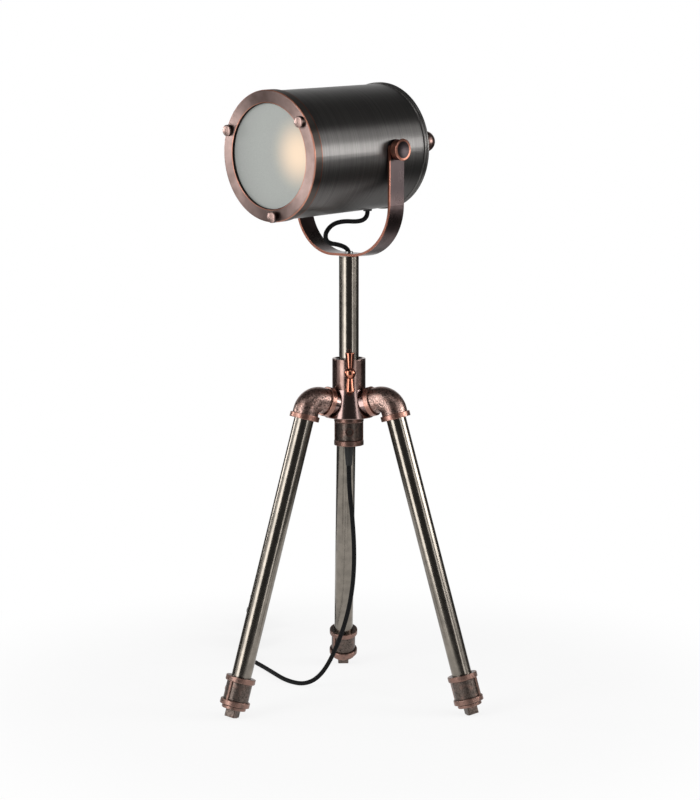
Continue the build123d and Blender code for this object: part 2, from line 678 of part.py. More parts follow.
# ---- head: rear cover and its handle ----
dome_back = HEAD_REAR - DOME_DEPTH
dome_r = ((SHADE_R - 0.6) ** 2 + DOME_DEPTH**2) / (2 * DOME_DEPTH)
halfway = SHADE_R / 2
dome_mid = (halfway, dome_back + dome_r - (dome_r**2 - halfway**2) ** 0.5)
inner_dome_r = dome_r - SHEET
inner_mid = (halfway, dome_back + dome_r - (inner_dome_r**2 - halfway**2) ** 0.5)
land_z = dome_back + dome_r - (inner_dome_r**2 - (shade_inner - 1.0) ** 2) ** 0.5
rear_cover = turned(
    [
        (HANDLE_STEM_R - 0.6 + THREAD_FIT, dome_back + dome_r - (dome_r**2 - 9.0) ** 0.5),
        (dome_mid, (SHADE_R - 0.6, HEAD_REAR)),
        (RIM_R - 0.8, HEAD_REAR),
        ((RIM_R, HEAD_REAR + RIM_BEAD / 2), (RIM_R - 0.8, HEAD_REAR + RIM_BEAD)),
        (RIM_R - 0.8, HEAD_REAR + RIM_BEAD + 0.5),
        ((RIM_R, HEAD_REAR + 1.5 * RIM_BEAD + 0.5), (RIM_R - 0.8, HEAD_REAR + 2 * RIM_BEAD + 0.5)),
        (SHADE_R + THREAD_FIT, HEAD_REAR + 2 * RIM_BEAD + 0.5),
        (SHADE_R + THREAD_FIT, cover_land),
        (shade_inner - 1.0, cover_land),
        (shade_inner - 1.0, land_z),
        (inner_mid, (HANDLE_STEM_R - 0.6 + THREAD_FIT, dome_back + SHEET + 0.05)),
    ],
    HEAD,
)
finish(rear_cover, "rear_cover")

handle_stem = turned(
    [
        (0, dome_back + 6.5),
        (HANDLE_STEM_R - 0.6, dome_back + 6.5),
        (HANDLE_STEM_R - 0.6, dome_back),
        (7.0, dome_back),
        (7.0, dome_back - 1.6),
        (HANDLE_STEM_R + 0.8, dome_back - 3.0),
        (HANDLE_STEM_R, dome_back - 8.0),
        (HANDLE_STEM_R, HANDLE_BALL_CENTRE + HANDLE_BALL_R - 0.6),
        (HANDLE_STEM_R - 0.6, HANDLE_BALL_CENTRE + HANDLE_BALL_R - 0.6),
        (HANDLE_STEM_R - 0.6, HANDLE_BALL_CENTRE + 2.0),
        (0, HANDLE_BALL_CENTRE + 2.0),
    ],
    HEAD,
)
finish(handle_stem, "handle_stem")

with BuildPart() as handle_knob:
    with Locations(HEAD.from_local_coords(Vector(0, 0, HANDLE_BALL_CENTRE))):
        Sphere(HANDLE_BALL_R)
    with BuildSketch(place(HEAD, z=HANDLE_BALL_CENTRE + HANDLE_BALL_R - 0.6)):
        Circle(9)
    extrude(amount=5, mode=Mode.SUBTRACT)
    with BuildSketch(place(HEAD, z=HANDLE_BALL_CENTRE + 2.0)):
        Circle(HANDLE_STEM_R - 0.6 + THREAD_FIT)
    extrude(amount=12, mode=Mode.SUBTRACT)
finish(handle_knob, "handle_knob")

nut_face = dome_back + SHEET + 0.21
with BuildPart() as handle_nut:
    with BuildSketch(place(HEAD, z=nut_face)):
        RegularPolygon(radius=5.5, side_count=6, major_radius=False)
        Circle(HANDLE_STEM_R - 0.6 + THREAD_FIT, mode=Mode.SUBTRACT)
    extrude(amount=4.0)
finish(handle_nut, "handle_nut")

# ---- head: pivots ----
insert_back = shade_inner - INSERT_THICKNESS - 0.4
PIVOTS = {
    "near": place(HEAD, along=(1, 0, 0), across=(0, 0, 1)),
    "far": place(HEAD, along=(-1, 0, 0), across=(0, 0, 1)),
}
with BuildPart() as pivot_inserts:
    for pivot_axis in PIVOTS.values():
        with BuildSketch(place(pivot_axis, z=insert_back)):
            RegularPolygon(radius=6.5, side_count=6, major_radius=False)
            Circle(PIVOT_STUD_R + THREAD_FIT + 0.05, mode=Mode.SUBTRACT)
        extrude(amount=INSERT_THICKNESS)
finish(pivot_inserts, "pivot_inserts")

with BuildPart() as pivot_washers:
    for pivot_axis in PIVOTS.values():
        with BuildSketch(place(pivot_axis, z=SHADE_R)):
            Circle(7.0)
            Circle(PIVOT_STUD_R + 0.3, mode=Mode.SUBTRACT)
        extrude(amount=PIVOT_WASHER)
finish(pivot_washers, "pivot_washers")

for side, pivot_axis in PIVOTS.items():
    knob_face = YOKE_HALF_WIDTH + FACE_GAP
    knob = turned(
        [
            (0, insert_back + 0.5),
            (PIVOT_STUD_R, insert_back + 0.5),
            (PIVOT_STUD_R, knob_face),
            (KNOB_BASE_R - 0.4, knob_face),
            (KNOB_BASE_R, knob_face + 0.4),
            (KNOB_BASE_R, knob_face + KNOB_LENGTH - 2.6),
            ((KNOB_RIM_R, knob_face + KNOB_LENGTH - 1.0), (KNOB_BASE_R - 0.1, knob_face + KNOB_LENGTH)),
            cap(KNOB_BASE_R - 0.1, knob_face + KNOB_LENGTH, knob_face + KNOB_LENGTH - 1.5),
        ],
        pivot_axis,
    )
    finish(knob, f"pivot_knob_{side}")

# ---- head: lampholder and bulb ----
bracket_reach = (shade_inner**2 - 64.0) ** 0.5 - 0.02
with BuildPart() as holder_bracket:
    with BuildSketch(place(HEAD, z=BRACKET_Z)):
        Rectangle(2 * bracket_reach, 16.0)
        Circle(NIPPLE_R + THREAD_FIT, mode=Mode.SUBTRACT)
    extrude(amount=BRACKET_THICKNESS)
    for sign in (-1, 1):
        with BuildSketch(place(HEAD, x=sign * (bracket_reach - BRACKET_THICKNESS / 2), z=BRACKET_Z)):
            Rectangle(BRACKET_THICKNESS, 16.0)
        extrude(amount=9.0)
finish(holder_bracket, "holder_bracket")

holder_back = BRACKET_Z + BRACKET_THICKNESS
holder_nipple = turned(
    [
        (NIPPLE_R - 1.6, BRACKET_Z - 7.0),
        (NIPPLE_R, BRACKET_Z - 7.0),
        (NIPPLE_R, holder_back + HOLDER_FLOOR - 2.0),
        (NIPPLE_R - 1.6, holder_back + HOLDER_FLOOR - 2.0),
    ],
    HEAD,
)
finish(holder_nipple, "holder_nipple")

with BuildPart() as holder_nut:
    with BuildSketch(place(HEAD, z=BRACKET_Z - 3.0)):
        RegularPolygon(radius=NIPPLE_R + 2.5, side_count=6, major_radius=False)
        Circle(NIPPLE_R + THREAD_FIT, mode=Mode.SUBTRACT)
    extrude(amount=3.0)
finish(holder_nut, "holder_nut")

lampholder = turned(
    [
        (NIPPLE_R + THREAD_FIT, holder_back),
        (HOLDER_BACK_R, holder_back),
        (HOLDER_R, holder_back + 6.0),
        (HOLDER_R, holder_back + HOLDER_LENGTH),
        (HOLDER_BORE_R, holder_back + HOLDER_LENGTH),
        (HOLDER_BORE_R, holder_back + HOLDER_FLOOR),
        (NIPPLE_R + THREAD_FIT, holder_back + HOLDER_FLOOR),
    ],
    HEAD,
)
finish(lampholder, "lampholder")

shell_back = holder_back + HOLDER_FLOOR
contact_face = shell_back + 4.0
lampholder_shell = turned(
    [
        (4.6, shell_back),
        (SHELL_R, shell_back),
        (SHELL_R, shell_back + SHELL_LENGTH),
        (SHELL_R - SHELL_WALL, shell_back + SHELL_LENGTH),
        (SHELL_R - SHELL_WALL, shell_back + 1.0),
        (4.6, shell_back + 1.0),
    ],
    HEAD,
)
finish(lampholder_shell, "lampholder_shell")

with BuildPart() as lampholder_contact:
    with BuildSketch(place(HEAD, z=shell_back - 1.5)):
        Circle(3.2)
    extrude(amount=contact_face - shell_back + 1.5)
finish(lampholder_contact, "lampholder_contact")

cap_top = contact_face + CAP_LENGTH
cap_bore_r = CAP_R - 1.0
bulb_cap = turned(
    [
        (0, contact_face),
        (4.6, contact_face),
        (6.0, contact_face + 2.0),
        (CAP_R, contact_face + 4.5),
        (CAP_R, cap_top),
        (cap_bore_r, cap_top),
        (cap_bore_r, contact_face + 5.5),
        (0, contact_face + 5.5),
    ],
    HEAD,
)
finish(bulb_cap, "bulb_cap")

bulb_glass = turned(
    [
        (0, contact_face + 6.0),
        (cap_bore_r, contact_face + 6.0),
        (cap_bore_r, cap_top + 2.0),
        ((15.6, BULB_CENTRE - 16.2), (20.0, BULB_CENTRE - 10.3)),
        ((BULB_R, BULB_CENTRE), (18.0, BULB_CENTRE + 13.5)),
        cap(18.0, BULB_CENTRE + 13.5, BULB_CENTRE + BULB_R),
    ],
    HEAD,
)
finish(bulb_glass, "bulb_glass")

# ---- the head's lead ----
lead_grommet = turned(
    [
        (CORD_R, shade_inner - 1.2),
        (4.6, shade_inner - 1.2),
        (4.6, shade_inner - 0.2),
        (GROMMET_R, shade_inner - 0.2),
        (GROMMET_R, SHADE_R),
        (4.6, SHADE_R),
        (4.2, SHADE_R + 1.8),
        (CORD_R + GROMMET_FLARE, SHADE_R + 1.8),
        (CORD_R, SHADE_R - 0.6),
    ],
    place(HEAD, z=LEAD_EXIT, along=(0, -1, 0), across=(1, 0, 0)),
)
finish(lead_grommet, "lead_grommet")

# Points in the upright plane through the mast's axis along the heading: ahead, height.
lead_start = HEAD.from_local_coords(Vector(0, -SHADE_R, LEAD_EXIT))
lead_profile = [
    (-26.9, 494.6),
    (-23.4, 490.4),
    (-17.5, 488.4),
    (-8.0, 488.0),
    (3.0, 488.9),
    (13.0, 488.5),
    (21.4, 486.9),
    (28.2, 483.2),
    (33.4, 477.4),
    (32.2, 470.6),
    (25.6, 467.6),
    (17.4, 466.5),
    (9.8, 464.6),
    (4.2, 462.4),
    (0.9, 459.7),
]
lead_points = [tuple(lead_start)]
lead_points += [(HEADING.X * ahead, HEADING.Y * ahead, height) for ahead, height in lead_profile]
lead_points += [(0, 0, LEAD_STUD_TOP_Z - 2.4)]
head_lead, lead_length = cord_tube(lead_points, "head_lead")
finish(head_lead, "head_lead")

# ---- power cord, its strain relief, switch, hank and plug ----
relief_top = HUB_BOTTOM_Z - COUPLING_LENGTH
strain_relief = turned(
    [
        (0, relief_top + ENGAGEMENT - 2.0),
        (PIPE_R, relief_top + ENGAGEMENT - 2.0),
        (PIPE_R, relief_top),
        (7.6, relief_top),
        (7.0, relief_top - 1.4),
        (4.7, relief_top - 1.8),
        (3.1, relief_top - RELIEF_LENGTH),
        (0, relief_top - RELIEF_LENGTH),
    ],
    BASE,
)
finish(strain_relief, "strain_relief")

# The put-away line: switch, hank and plug lie in a row behind the left leg.
ROW = Plane(origin=(-100.6, 200.0, 0), x_dir=(0.9982, -0.0602, 0), z_dir=(0.0602, 0.9982, 0))
SWITCH_START = -4.0
SWITCH_LENGTH = 58.0
SWITCH_HEIGHT = 25.0
SWITCH_THICKNESS = 16.0
ROCKER_THROW = 8.0  # how far the rocker leans to either side of level
HANK_START = 74.0
HANK_LENGTH = 84.0
HANK_HALF_WIDTH = 8.5
HANK_HALF_HEIGHT = 12.0
PLUG_START = 180.0
PLUG_LENGTH = 35.6
PLUG_NECK = 12.0
PLUG_WIDTH = 35.3
PLUG_THICKNESS = 13.7
PIN_R = 2.0
PIN_LENGTH = 19.0
PIN_SPACING = 18.6
cord_height = CORD_R + 0.05


def row_point(across, up, along):
    """A point of the put-away row: across it, up from the table and along it."""
    return tuple(ROW.origin + ROW.x_dir * across + ROW.z_dir * along + Vector(0, 0, up))


switch_mid_z = SWITCH_HEIGHT / 2 + 0.3
switch_plane = Plane(origin=row_point(0, switch_mid_z, SWITCH_START), x_dir=ROW.x_dir, z_dir=ROW.z_dir)

power_points = [
    (0, 0, relief_top - RELIEF_LENGTH),
    (0, 0, 221),
    (2.8, 0.5, 196),
    (5.2, 3.5, 166),
    (5.7, 4.5, 140),
    (4.3, 9.0, 114),
    (0.6, 13.5, 90),
    (-4.7, 19.0, 68),
    (-11.2, 25.5, 48),
    (-18.4, 31.0, 30),
    (-26.3, 37.0, 15.5),
    (-35.5, 41.0, 6.2),
    (-46.5, 43.5, cord_height),
    (-57.5, 51.0, cord_height),
    (-66.5, 64.5, cord_height),
    (-73.5, 81.0, cord_height),
    (-80.5, 98.0, cord_height),
    (-88.5, 117.0, cord_height),
    (-96.0, 133.0, cord_height),
    (-100.6, 147.5, cord_height + 0.4),
    (-102.9, 162.0, cord_height + 3.4),
    row_point(-0.4, switch_mid_z - 2.4, SWITCH_START - 22.0),
    row_point(0, switch_mid_z, SWITCH_START - 11.0),
    row_point(0, switch_mid_z, SWITCH_START),
]
power_cord, power_length = cord_tube(power_points, "power_cord")
finish(power_cord, "power_cord")

with BuildPart() as switch_body:
    with BuildSketch(switch_plane):
        RectangleRounded(7.0, 9.0, 2.5)
    extrude(amount=SWITCH_LENGTH)
    with BuildSketch(place(switch_plane, x=-SWITCH_THICKNESS / 4, z=7.0)):
        RectangleRounded(SWITCH_THICKNESS / 2, SWITCH_HEIGHT, 1.6)
    extrude(amount=SWITCH_LENGTH - 14.0)
    with BuildSketch(place(switch_plane, z=6.9)):
        with Locations((SWITCH_THICKNESS / 4 + 0.02, 0)):
            Rectangle(SWITCH_THICKNESS / 2, SWITCH_HEIGHT)
    extrude(amount=SWITCH_LENGTH - 13.8, mode=Mode.SUBTRACT)
finish(switch_body, "switch_body")

rocker_mid = SWITCH_LENGTH / 2
with BuildPart() as switch_cover:
    with BuildSketch(place(switch_plane, x=SWITCH_THICKNESS / 4 + 0.02, z=7.0)):
        RectangleRounded(SWITCH_THICKNESS / 2, SWITCH_HEIGHT, 1.6)
    extrude(amount=SWITCH_LENGTH - 14.0)
    with BuildSketch(place(switch_plane, z=rocker_mid, along=(1, 0, 0), across=(0, 0, 1))):
        RectangleRounded(19.0, 11.0, 1.5)
    extrude(amount=SWITCH_THICKNESS, mode=Mode.SUBTRACT)
finish(switch_cover, "switch_cover")

rocker_lean = (cos(radians(ROCKER_THROW)), 0, sin(radians(ROCKER_THROW)))
rocker_axis = place(switch_plane, x=SWITCH_THICKNESS / 4, z=rocker_mid, along=(0, 1, 0), across=rocker_lean)
with BuildPart() as switch_rocker:
    with BuildSketch(place(rocker_axis, z=-5.0)):
        with BuildLine():
            Polyline(
                (-1.6, -6.5),
                (2.4, -8.2),
                (SWITCH_THICKNESS / 4 - 0.3, -8.6),
                (SWITCH_THICKNESS / 4 + 0.6, 0),
                (SWITCH_THICKNESS / 4 - 0.3, 8.6),
                (2.4, 8.2),
                (-1.6, 6.5),
                close=True,
            )
        make_face()
    extrude(amount=10.0)
finish(switch_rocker, "switch_rocker")

hank_mid_z = HANK_HALF_HEIGHT + CORD_R + 0.1
hank_plane = Plane(origin=row_point(0, hank_mid_z, HANK_START), x_dir=ROW.x_dir, z_dir=ROW.z_dir)
link_points = [
    row_point(0, switch_mid_z, SWITCH_START + SWITCH_LENGTH),
    row_point(0, switch_mid_z, SWITCH_START + SWITCH_LENGTH + 6.0),
    row_point(0, hank_mid_z, HANK_START - 7.0),
    row_point(0, hank_mid_z, HANK_START),
]
switch_link, link_length = cord_tube(link_points, "switch_link")
finish(switch_link, "switch_link")

with BuildPart() as cord_hank:
    with BuildSketch(hank_plane):
        Ellipse(HANK_HALF_WIDTH + CORD_R, HANK_HALF_HEIGHT + CORD_R)
    extrude(amount=HANK_LENGTH)
    fillet(cord_hank.faces().filter_by(GeomType.PLANE).edges(), 4.0)
finish(cord_hank, "cord_hank")

with BuildPart() as cord_tie:
    with BuildSketch(place(hank_plane, z=HANK_LENGTH / 2 - 3.0)):
        Ellipse(HANK_HALF_WIDTH + CORD_R + 0.09, HANK_HALF_HEIGHT + CORD_R + 0.09)
        Ellipse(HANK_HALF_WIDTH + CORD_R, HANK_HALF_HEIGHT + CORD_R, mode=Mode.SUBTRACT)
    extrude(amount=6.0)
finish(cord_tie, "cord_tie")

plug_mid_z = PLUG_WIDTH / 2 + 0.15
plug_plane = Plane(origin=row_point(0, plug_mid_z, PLUG_START), x_dir=ROW.x_dir, z_dir=ROW.z_dir)
tail_points = [
    row_point(0, hank_mid_z, HANK_START + HANK_LENGTH),
    row_point(0, hank_mid_z, HANK_START + HANK_LENGTH + 7.0),
    row_point(0, plug_mid_z, PLUG_START - 7.0),
    row_point(0, plug_mid_z, PLUG_START),
]
plug_link, tail_length = cord_tube(tail_points, "plug_link")
finish(plug_link, "plug_link")
hank_cord = CORD_LENGTH - power_length - link_length - tail_length
print("cord in the hank", round(hank_cord, 1))

with BuildPart() as plug_body:
    with BuildSketch(plug_plane):
        Circle(3.6)
    with BuildSketch(place(plug_plane, z=PLUG_NECK)):
        RectangleRounded(PLUG_THICKNESS - 1.0, 0.62 * PLUG_WIDTH, 4.0)
    with BuildSketch(place(plug_plane, z=PLUG_LENGTH)):
        RectangleRounded(PLUG_THICKNESS, PLUG_WIDTH, 5.0)
    loft(ruled=True)
finish(plug_body, "plug_body")

with BuildPart() as plug_pins:
    for sign in (-1, 1):
        add(turned(
            [
                (0, PLUG_LENGTH),
                (PIN_R, PLUG_LENGTH),
                (PIN_R, PLUG_LENGTH + PIN_LENGTH - 1.0),
                (PIN_R - 1.0, PLUG_LENGTH + PIN_LENGTH),
                (0, PLUG_LENGTH + PIN_LENGTH),
            ],
            place(plug_plane, y=sign * PIN_SPACING / 2),
        ).part)
finish(plug_pins, "plug_pins")
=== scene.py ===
import logging
from dataclasses import dataclass, field
from enum import Enum
from math import cos, pi, radians, sin
from typing import Iterable, Optional, Sequence

import bmesh
import bpy
from mathutils import Matrix, Vector


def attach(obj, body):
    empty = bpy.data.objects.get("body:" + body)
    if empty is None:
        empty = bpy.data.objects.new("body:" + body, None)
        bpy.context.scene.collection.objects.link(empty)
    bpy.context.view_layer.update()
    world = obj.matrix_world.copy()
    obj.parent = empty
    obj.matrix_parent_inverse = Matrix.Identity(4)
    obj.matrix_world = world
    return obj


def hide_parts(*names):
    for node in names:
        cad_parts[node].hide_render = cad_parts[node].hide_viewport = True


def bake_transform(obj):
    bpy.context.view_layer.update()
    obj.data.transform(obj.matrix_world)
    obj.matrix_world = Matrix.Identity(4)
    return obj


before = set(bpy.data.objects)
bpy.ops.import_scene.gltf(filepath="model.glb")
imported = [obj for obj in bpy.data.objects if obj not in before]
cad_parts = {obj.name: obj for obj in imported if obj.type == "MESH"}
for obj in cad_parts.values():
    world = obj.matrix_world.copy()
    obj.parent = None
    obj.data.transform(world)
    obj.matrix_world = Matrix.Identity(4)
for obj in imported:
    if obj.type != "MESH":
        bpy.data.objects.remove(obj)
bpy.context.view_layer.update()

LOG = logging.getLogger("searchlight")
MM = 0.001
SMOOTH = {"interpolation_type": "SMOOTHSTEP"}

Pair = tuple[float, float]
Point = tuple[float, float, float]


# ---------------------------------------------------------------- small tools


def linear(code: str) -> tuple[float, float, float, float]:
    """Turns an sRGB hex colour into the linear values a shader takes.

    Args:
        code: The colour as six hex digits after a hash.

    Returns:
        Red, green, blue and a full alpha.
    """
    parts = [int(code[i:i + 2], 16) / 255.0 for i in (1, 3, 5)]
    values = [p / 12.92 if p <= 0.04045 else ((p + 0.055) / 1.055) ** 2.4 for p in parts]
    return (values[0], values[1], values[2], 1.0)


def add_node(
    tree: bpy.types.NodeTree,
    kind: str,
    settings: Optional[dict] = None,
    inputs: Optional[dict] = None,
) -> bpy.types.Node:
    """Adds one node with its settings and links.

    Args:
        tree: The node tree it goes in.
        kind: Blender's name for the node's type.
        settings: Attributes set on the node itself.
        inputs: Socket name or index to a constant, or to the output that feeds it.

    Returns:
        The new node.
    """
    node = tree.nodes.new(kind)
    for key, value in (settings or {}).items():
        setattr(node, key, value)
    for key, value in (inputs or {}).items():
        socket = node.inputs[key]
        if isinstance(value, bpy.types.NodeSocket):
            tree.links.new(value, socket)
        else:
            socket.default_value = value
    return node


def ramp(
    tree: bpy.types.NodeTree,
    source: bpy.types.NodeSocket,
    stops: Sequence[tuple[float, tuple[float, float, float, float]]],
) -> bpy.types.NodeSocket:
    """Runs a value through a colour ramp.

    Args:
        tree: The node tree it goes in.
        source: The value.
        stops: Position and colour of each stop, from low to high.

    Returns:
        The colour output.
    """
    node = add_node(tree, "ShaderNodeValToRGB", inputs={"Fac": source})
    elements = node.color_ramp.elements
    while len(elements) < len(stops):
        elements.new(0.5)
    for element, (position, colour) in zip(elements, stops):
        element.position = position
        element.color = colour
    return node.outputs["Color"]


def grey(value: float) -> tuple[float, float, float, float]:
    """A neutral colour of one value."""
    return (value, value, value, 1.0)


def blank(name: str) -> tuple[bpy.types.Material, bpy.types.NodeTree, bpy.types.Node]:
    """Starts a material.

    Args:
        name: What it is called.

    Returns:
        The material, its node tree and its shader.
    """
    material = bpy.data.materials.new(name)
    material.use_nodes = True
    tree = material.node_tree
    return material, tree, tree.nodes["Principled BSDF"]


def brush_along(
    tree: bpy.types.NodeTree,
    shader: bpy.types.Node,
    way: bpy.types.NodeSocket | Vector,
) -> None:
    """Draws a metal's highlights out along a direction, as brushing across it does.

    Args:
        tree: The material's nodes.
        shader: The material's shader.
        way: The direction on the object.
    """
    drawn = add_node(tree, "ShaderNodeVectorTransform", {
        "vector_type": "VECTOR", "convert_from": "OBJECT", "convert_to": "WORLD"}, {0: way})
    tree.links.new(drawn.outputs[0], shader.inputs["Tangent"])


# ---------------------------------------------------------------- directions


YAW = radians(47.0)
TILT = radians(3.0)
LEG_LEAN = radians(16.3)
LEG_OUT, LEG_TOP = 53.14, 293.15  # where a leg leaves its elbow: out from the mast, and up
PORT_OUT, PORT_HEIGHT = 23.73, 308.2  # where an elbow meets the hub
YOKE_PIVOT_HEIGHT = 560.5
HEADING = Vector((-sin(YAW), -cos(YAW), 0.0))
ACROSS = Vector((cos(YAW), -sin(YAW), 0.0))
BEAM = HEADING * cos(TILT) - Vector((0.0, 0.0, sin(TILT)))


def seat(origin_mm: Sequence[float], x_dir: Vector, z_dir: Vector) -> Matrix:
    """A placing matrix in metres.

    Args:
        origin_mm: Where the local origin lies.
        x_dir: The local x axis.
        z_dir: The local z axis.

    Returns:
        A rotation with a translation, so that local millimetres scaled to metres land in place.
    """
    z_axis = z_dir.normalized()
    x_axis = (x_dir - z_axis * x_dir.dot(z_axis)).normalized()
    y_axis = z_axis.cross(x_axis)
    turn = Matrix((x_axis, y_axis, z_axis)).transposed().to_4x4()
    return Matrix.Translation(Vector(origin_mm) * MM) @ turn


HEAD = seat((0.0, 0.0, YOKE_PIVOT_HEIGHT), ACROSS, BEAM)


def leg_axis(azimuth: float) -> tuple[Vector, Vector]:
    """Where a leg leaves its elbow, in metres, and the way it runs down.

    Args:
        azimuth: The leg's direction in degrees from +X.

    Returns:
        The starting point and the unit direction.
    """
    outward = Vector((cos(radians(azimuth)), sin(radians(azimuth)), 0.0))
    down = outward * sin(LEG_LEAN) - Vector((0.0, 0.0, cos(LEG_LEAN)))
    return (outward * LEG_OUT + Vector((0.0, 0.0, LEG_TOP))) * MM, down


def port_axis(azimuth: float) -> tuple[Vector, Vector]:
    """Where an elbow meets the hub, in metres, and the way that arm runs.

    Args:
        azimuth: The leg's direction in degrees from +X.

    Returns:
        The starting point and the unit direction.
    """
    outward = Vector((cos(radians(azimuth)), sin(radians(azimuth)), 0.0))
    onward = outward * cos(LEG_LEAN) + Vector((0.0, 0.0, sin(LEG_LEAN)))
    return (outward * PORT_OUT + Vector((0.0, 0.0, PORT_HEIGHT))) * MM, onward


def about_axis(
    tree: bpy.types.NodeTree,
    where: bpy.types.NodeSocket,
    start: Vector,
    direction: Vector,
) -> tuple[bpy.types.NodeSocket, bpy.types.NodeSocket]:
    """Measures each point from an axis.

    Args:
        tree: The node tree it goes in.
        where: Object coordinates.
        start: A point of the axis, in metres.
        direction: The axis's unit direction.

    Returns:
        The distance out from the axis and the distance along it, in metres.
    """
    offset = add_node(tree, "ShaderNodeVectorMath", {"operation": "SUBTRACT"}, {0: where, 1: start})
    along = add_node(tree, "ShaderNodeVectorMath", {"operation": "DOT_PRODUCT"}, {
        0: offset.outputs[0], 1: direction})
    foot = add_node(tree, "ShaderNodeVectorMath", {"operation": "SCALE"}, {
        0: direction, "Scale": along.outputs["Value"]})
    out = add_node(tree, "ShaderNodeVectorMath", {"operation": "DISTANCE"}, {
        0: offset.outputs[0], 1: foot.outputs[0]})
    return out.outputs["Value"], along.outputs["Value"]


def band(
    tree: bpy.types.NodeTree,
    value: bpy.types.NodeSocket,
    low_mm: float,
    high_mm: float,
    edge_mm: float = 0.4,
) -> bpy.types.NodeSocket:
    """One between two distances and nought outside them, with soft edges.

    Args:
        tree: The node tree it goes in.
        value: A distance in metres.
        low_mm: Where it rises.
        high_mm: Where it falls.
        edge_mm: How wide each edge is.

    Returns:
        The mask.
    """
    half = edge_mm / 2
    rise = add_node(tree, "ShaderNodeMapRange", SMOOTH, {
        0: value, 1: (low_mm - half) * MM, 2: (low_mm + half) * MM})
    fall = add_node(tree, "ShaderNodeMapRange", SMOOTH, {
        0: value, 1: (high_mm - half) * MM, 2: (high_mm + half) * MM, 3: 1.0, 4: 0.0})
    return both(tree, rise.outputs[0], fall.outputs[0])


def either(tree: bpy.types.NodeTree, *masks: bpy.types.NodeSocket) -> bpy.types.NodeSocket:
    """The greater of several masks."""
    result = masks[0]
    for mask in masks[1:]:
        result = add_node(tree, "ShaderNodeMath", {"operation": "MAXIMUM"}, {
            0: result, 1: mask}).outputs[0]
    return result


def both(
    tree: bpy.types.NodeTree,
    first: bpy.types.NodeSocket,
    second: bpy.types.NodeSocket,
) -> bpy.types.NodeSocket:
    """The product of two masks."""
    node = add_node(tree, "ShaderNodeMath", {"operation": "MULTIPLY"}, {0: first, 1: second})
    return node.outputs[0]


def mixed(
    tree: bpy.types.NodeTree,
    mask: bpy.types.NodeSocket,
    under: bpy.types.NodeSocket | tuple,
    over: bpy.types.NodeSocket | tuple,
) -> bpy.types.NodeSocket:
    """Lays one colour over another by a mask."""
    node = add_node(tree, "ShaderNodeMix", {"data_type": "RGBA"}, {0: mask, 6: under, 7: over})
    return node.outputs[2]


# ---------------------------------------------------------------- finishes


@dataclass(frozen=True)
class PolishedNickel:
    """Half-inch steel pipe, polished and plated in black nickel: dark, and mirror bright."""

    name: str = "polished_black_nickel"
    base: str = "#8b847b"
    worn: str = "#7b756d"
    roughness: float = 0.19
    clouds_per_metre: float = 110.0  # polishing clouds about 9 mm across
    marks_per_metre: float = 900.0  # a haze of fine marks about 1 mm across

    def build(self) -> bpy.types.Material:
        """Makes the material.

        Returns:
            A dark mirror, slightly clouded by hand polishing, which softens its stripes.
        """
        material, tree, shader = blank(self.name)
        shader.inputs["Metallic"].default_value = 1.0
        where = add_node(tree, "ShaderNodeTexCoord").outputs["Object"]
        clouds = add_node(tree, "ShaderNodeTexNoise", inputs={
            0: where, "Scale": self.clouds_per_metre, "Detail": 3.0})
        haze = add_node(tree, "ShaderNodeTexNoise", inputs={
            0: where, "Scale": self.marks_per_metre, "Detail": 2.0})
        tint = ramp(tree, clouds.outputs[0], [(0.35, linear(self.worn)), (0.65, linear(self.base))])
        rough = add_node(tree, "ShaderNodeMapRange", inputs={
            0: haze.outputs[0], 3: self.roughness - 0.03, 4: self.roughness + 0.04})
        tree.links.new(tint, shader.inputs["Base Color"])
        tree.links.new(rough.outputs[0], shader.inputs["Roughness"])
        return material


@dataclass(frozen=True)
class BrushedGunmetal:
    """Spun sheet steel, brushed round the drum and blackened: fine rings and a long soft sheen."""

    name: str = "brushed_gunmetal"
    light: str = "#6f6d6b"
    dark: str = "#5b5958"
    roughness: float = 0.36
    line_mm: float = 0.7
    drift_per_metre: float = 6.0
    patches_per_metre: float = 22.0  # broad patches, about 45 mm across

    def build(self) -> bpy.types.Material:
        """Makes the material.

        Returns:
            A dark metal whose brushing runs round the drum and drags its highlights along it.
        """
        material, tree, shader = blank(self.name)
        shader.inputs["Metallic"].default_value = 1.0
        shader.inputs["Anisotropic"].default_value = 0.75
        where = add_node(tree, "ShaderNodeTexCoord").outputs["Object"]
        _, along = about_axis(tree, where, HEAD.translation, BEAM)
        # The rings follow the place along the axis, with a slow drift round it. The real ones are
        # a tenth of a millimetre apart, which is too fine to show, so they are drawn wider.
        drift = add_node(tree, "ShaderNodeVectorMath", {"operation": "SCALE"}, {
            0: where, "Scale": self.drift_per_metre})
        lines = add_node(tree, "ShaderNodeMath", {"operation": "MULTIPLY"}, {
            0: along, 1: 1.0 / (self.line_mm * MM)})
        spread = add_node(tree, "ShaderNodeCombineXYZ", inputs={0: lines.outputs[0]})
        spot = add_node(tree, "ShaderNodeVectorMath", {"operation": "ADD"}, {
            0: spread.outputs[0], 1: drift.outputs[0]})
        fine = add_node(tree, "ShaderNodeTexNoise", inputs={
            0: spot.outputs[0], "Scale": 1.0, "Detail": 3.0})
        broad = add_node(tree, "ShaderNodeTexNoise", inputs={
            0: where, "Scale": self.patches_per_metre, "Detail": 2.0})
        tint = ramp(tree, fine.outputs[0], [(0.30, linear(self.dark)), (0.70, linear(self.light))])
        rough = add_node(tree, "ShaderNodeMapRange", inputs={
            0: broad.outputs[0], 3: self.roughness - 0.03, 4: self.roughness + 0.03})
        brush_along(tree, shader, BEAM)
        tree.links.new(tint, shader.inputs["Base Color"])
        tree.links.new(rough.outputs[0], shader.inputs["Roughness"])
        return material


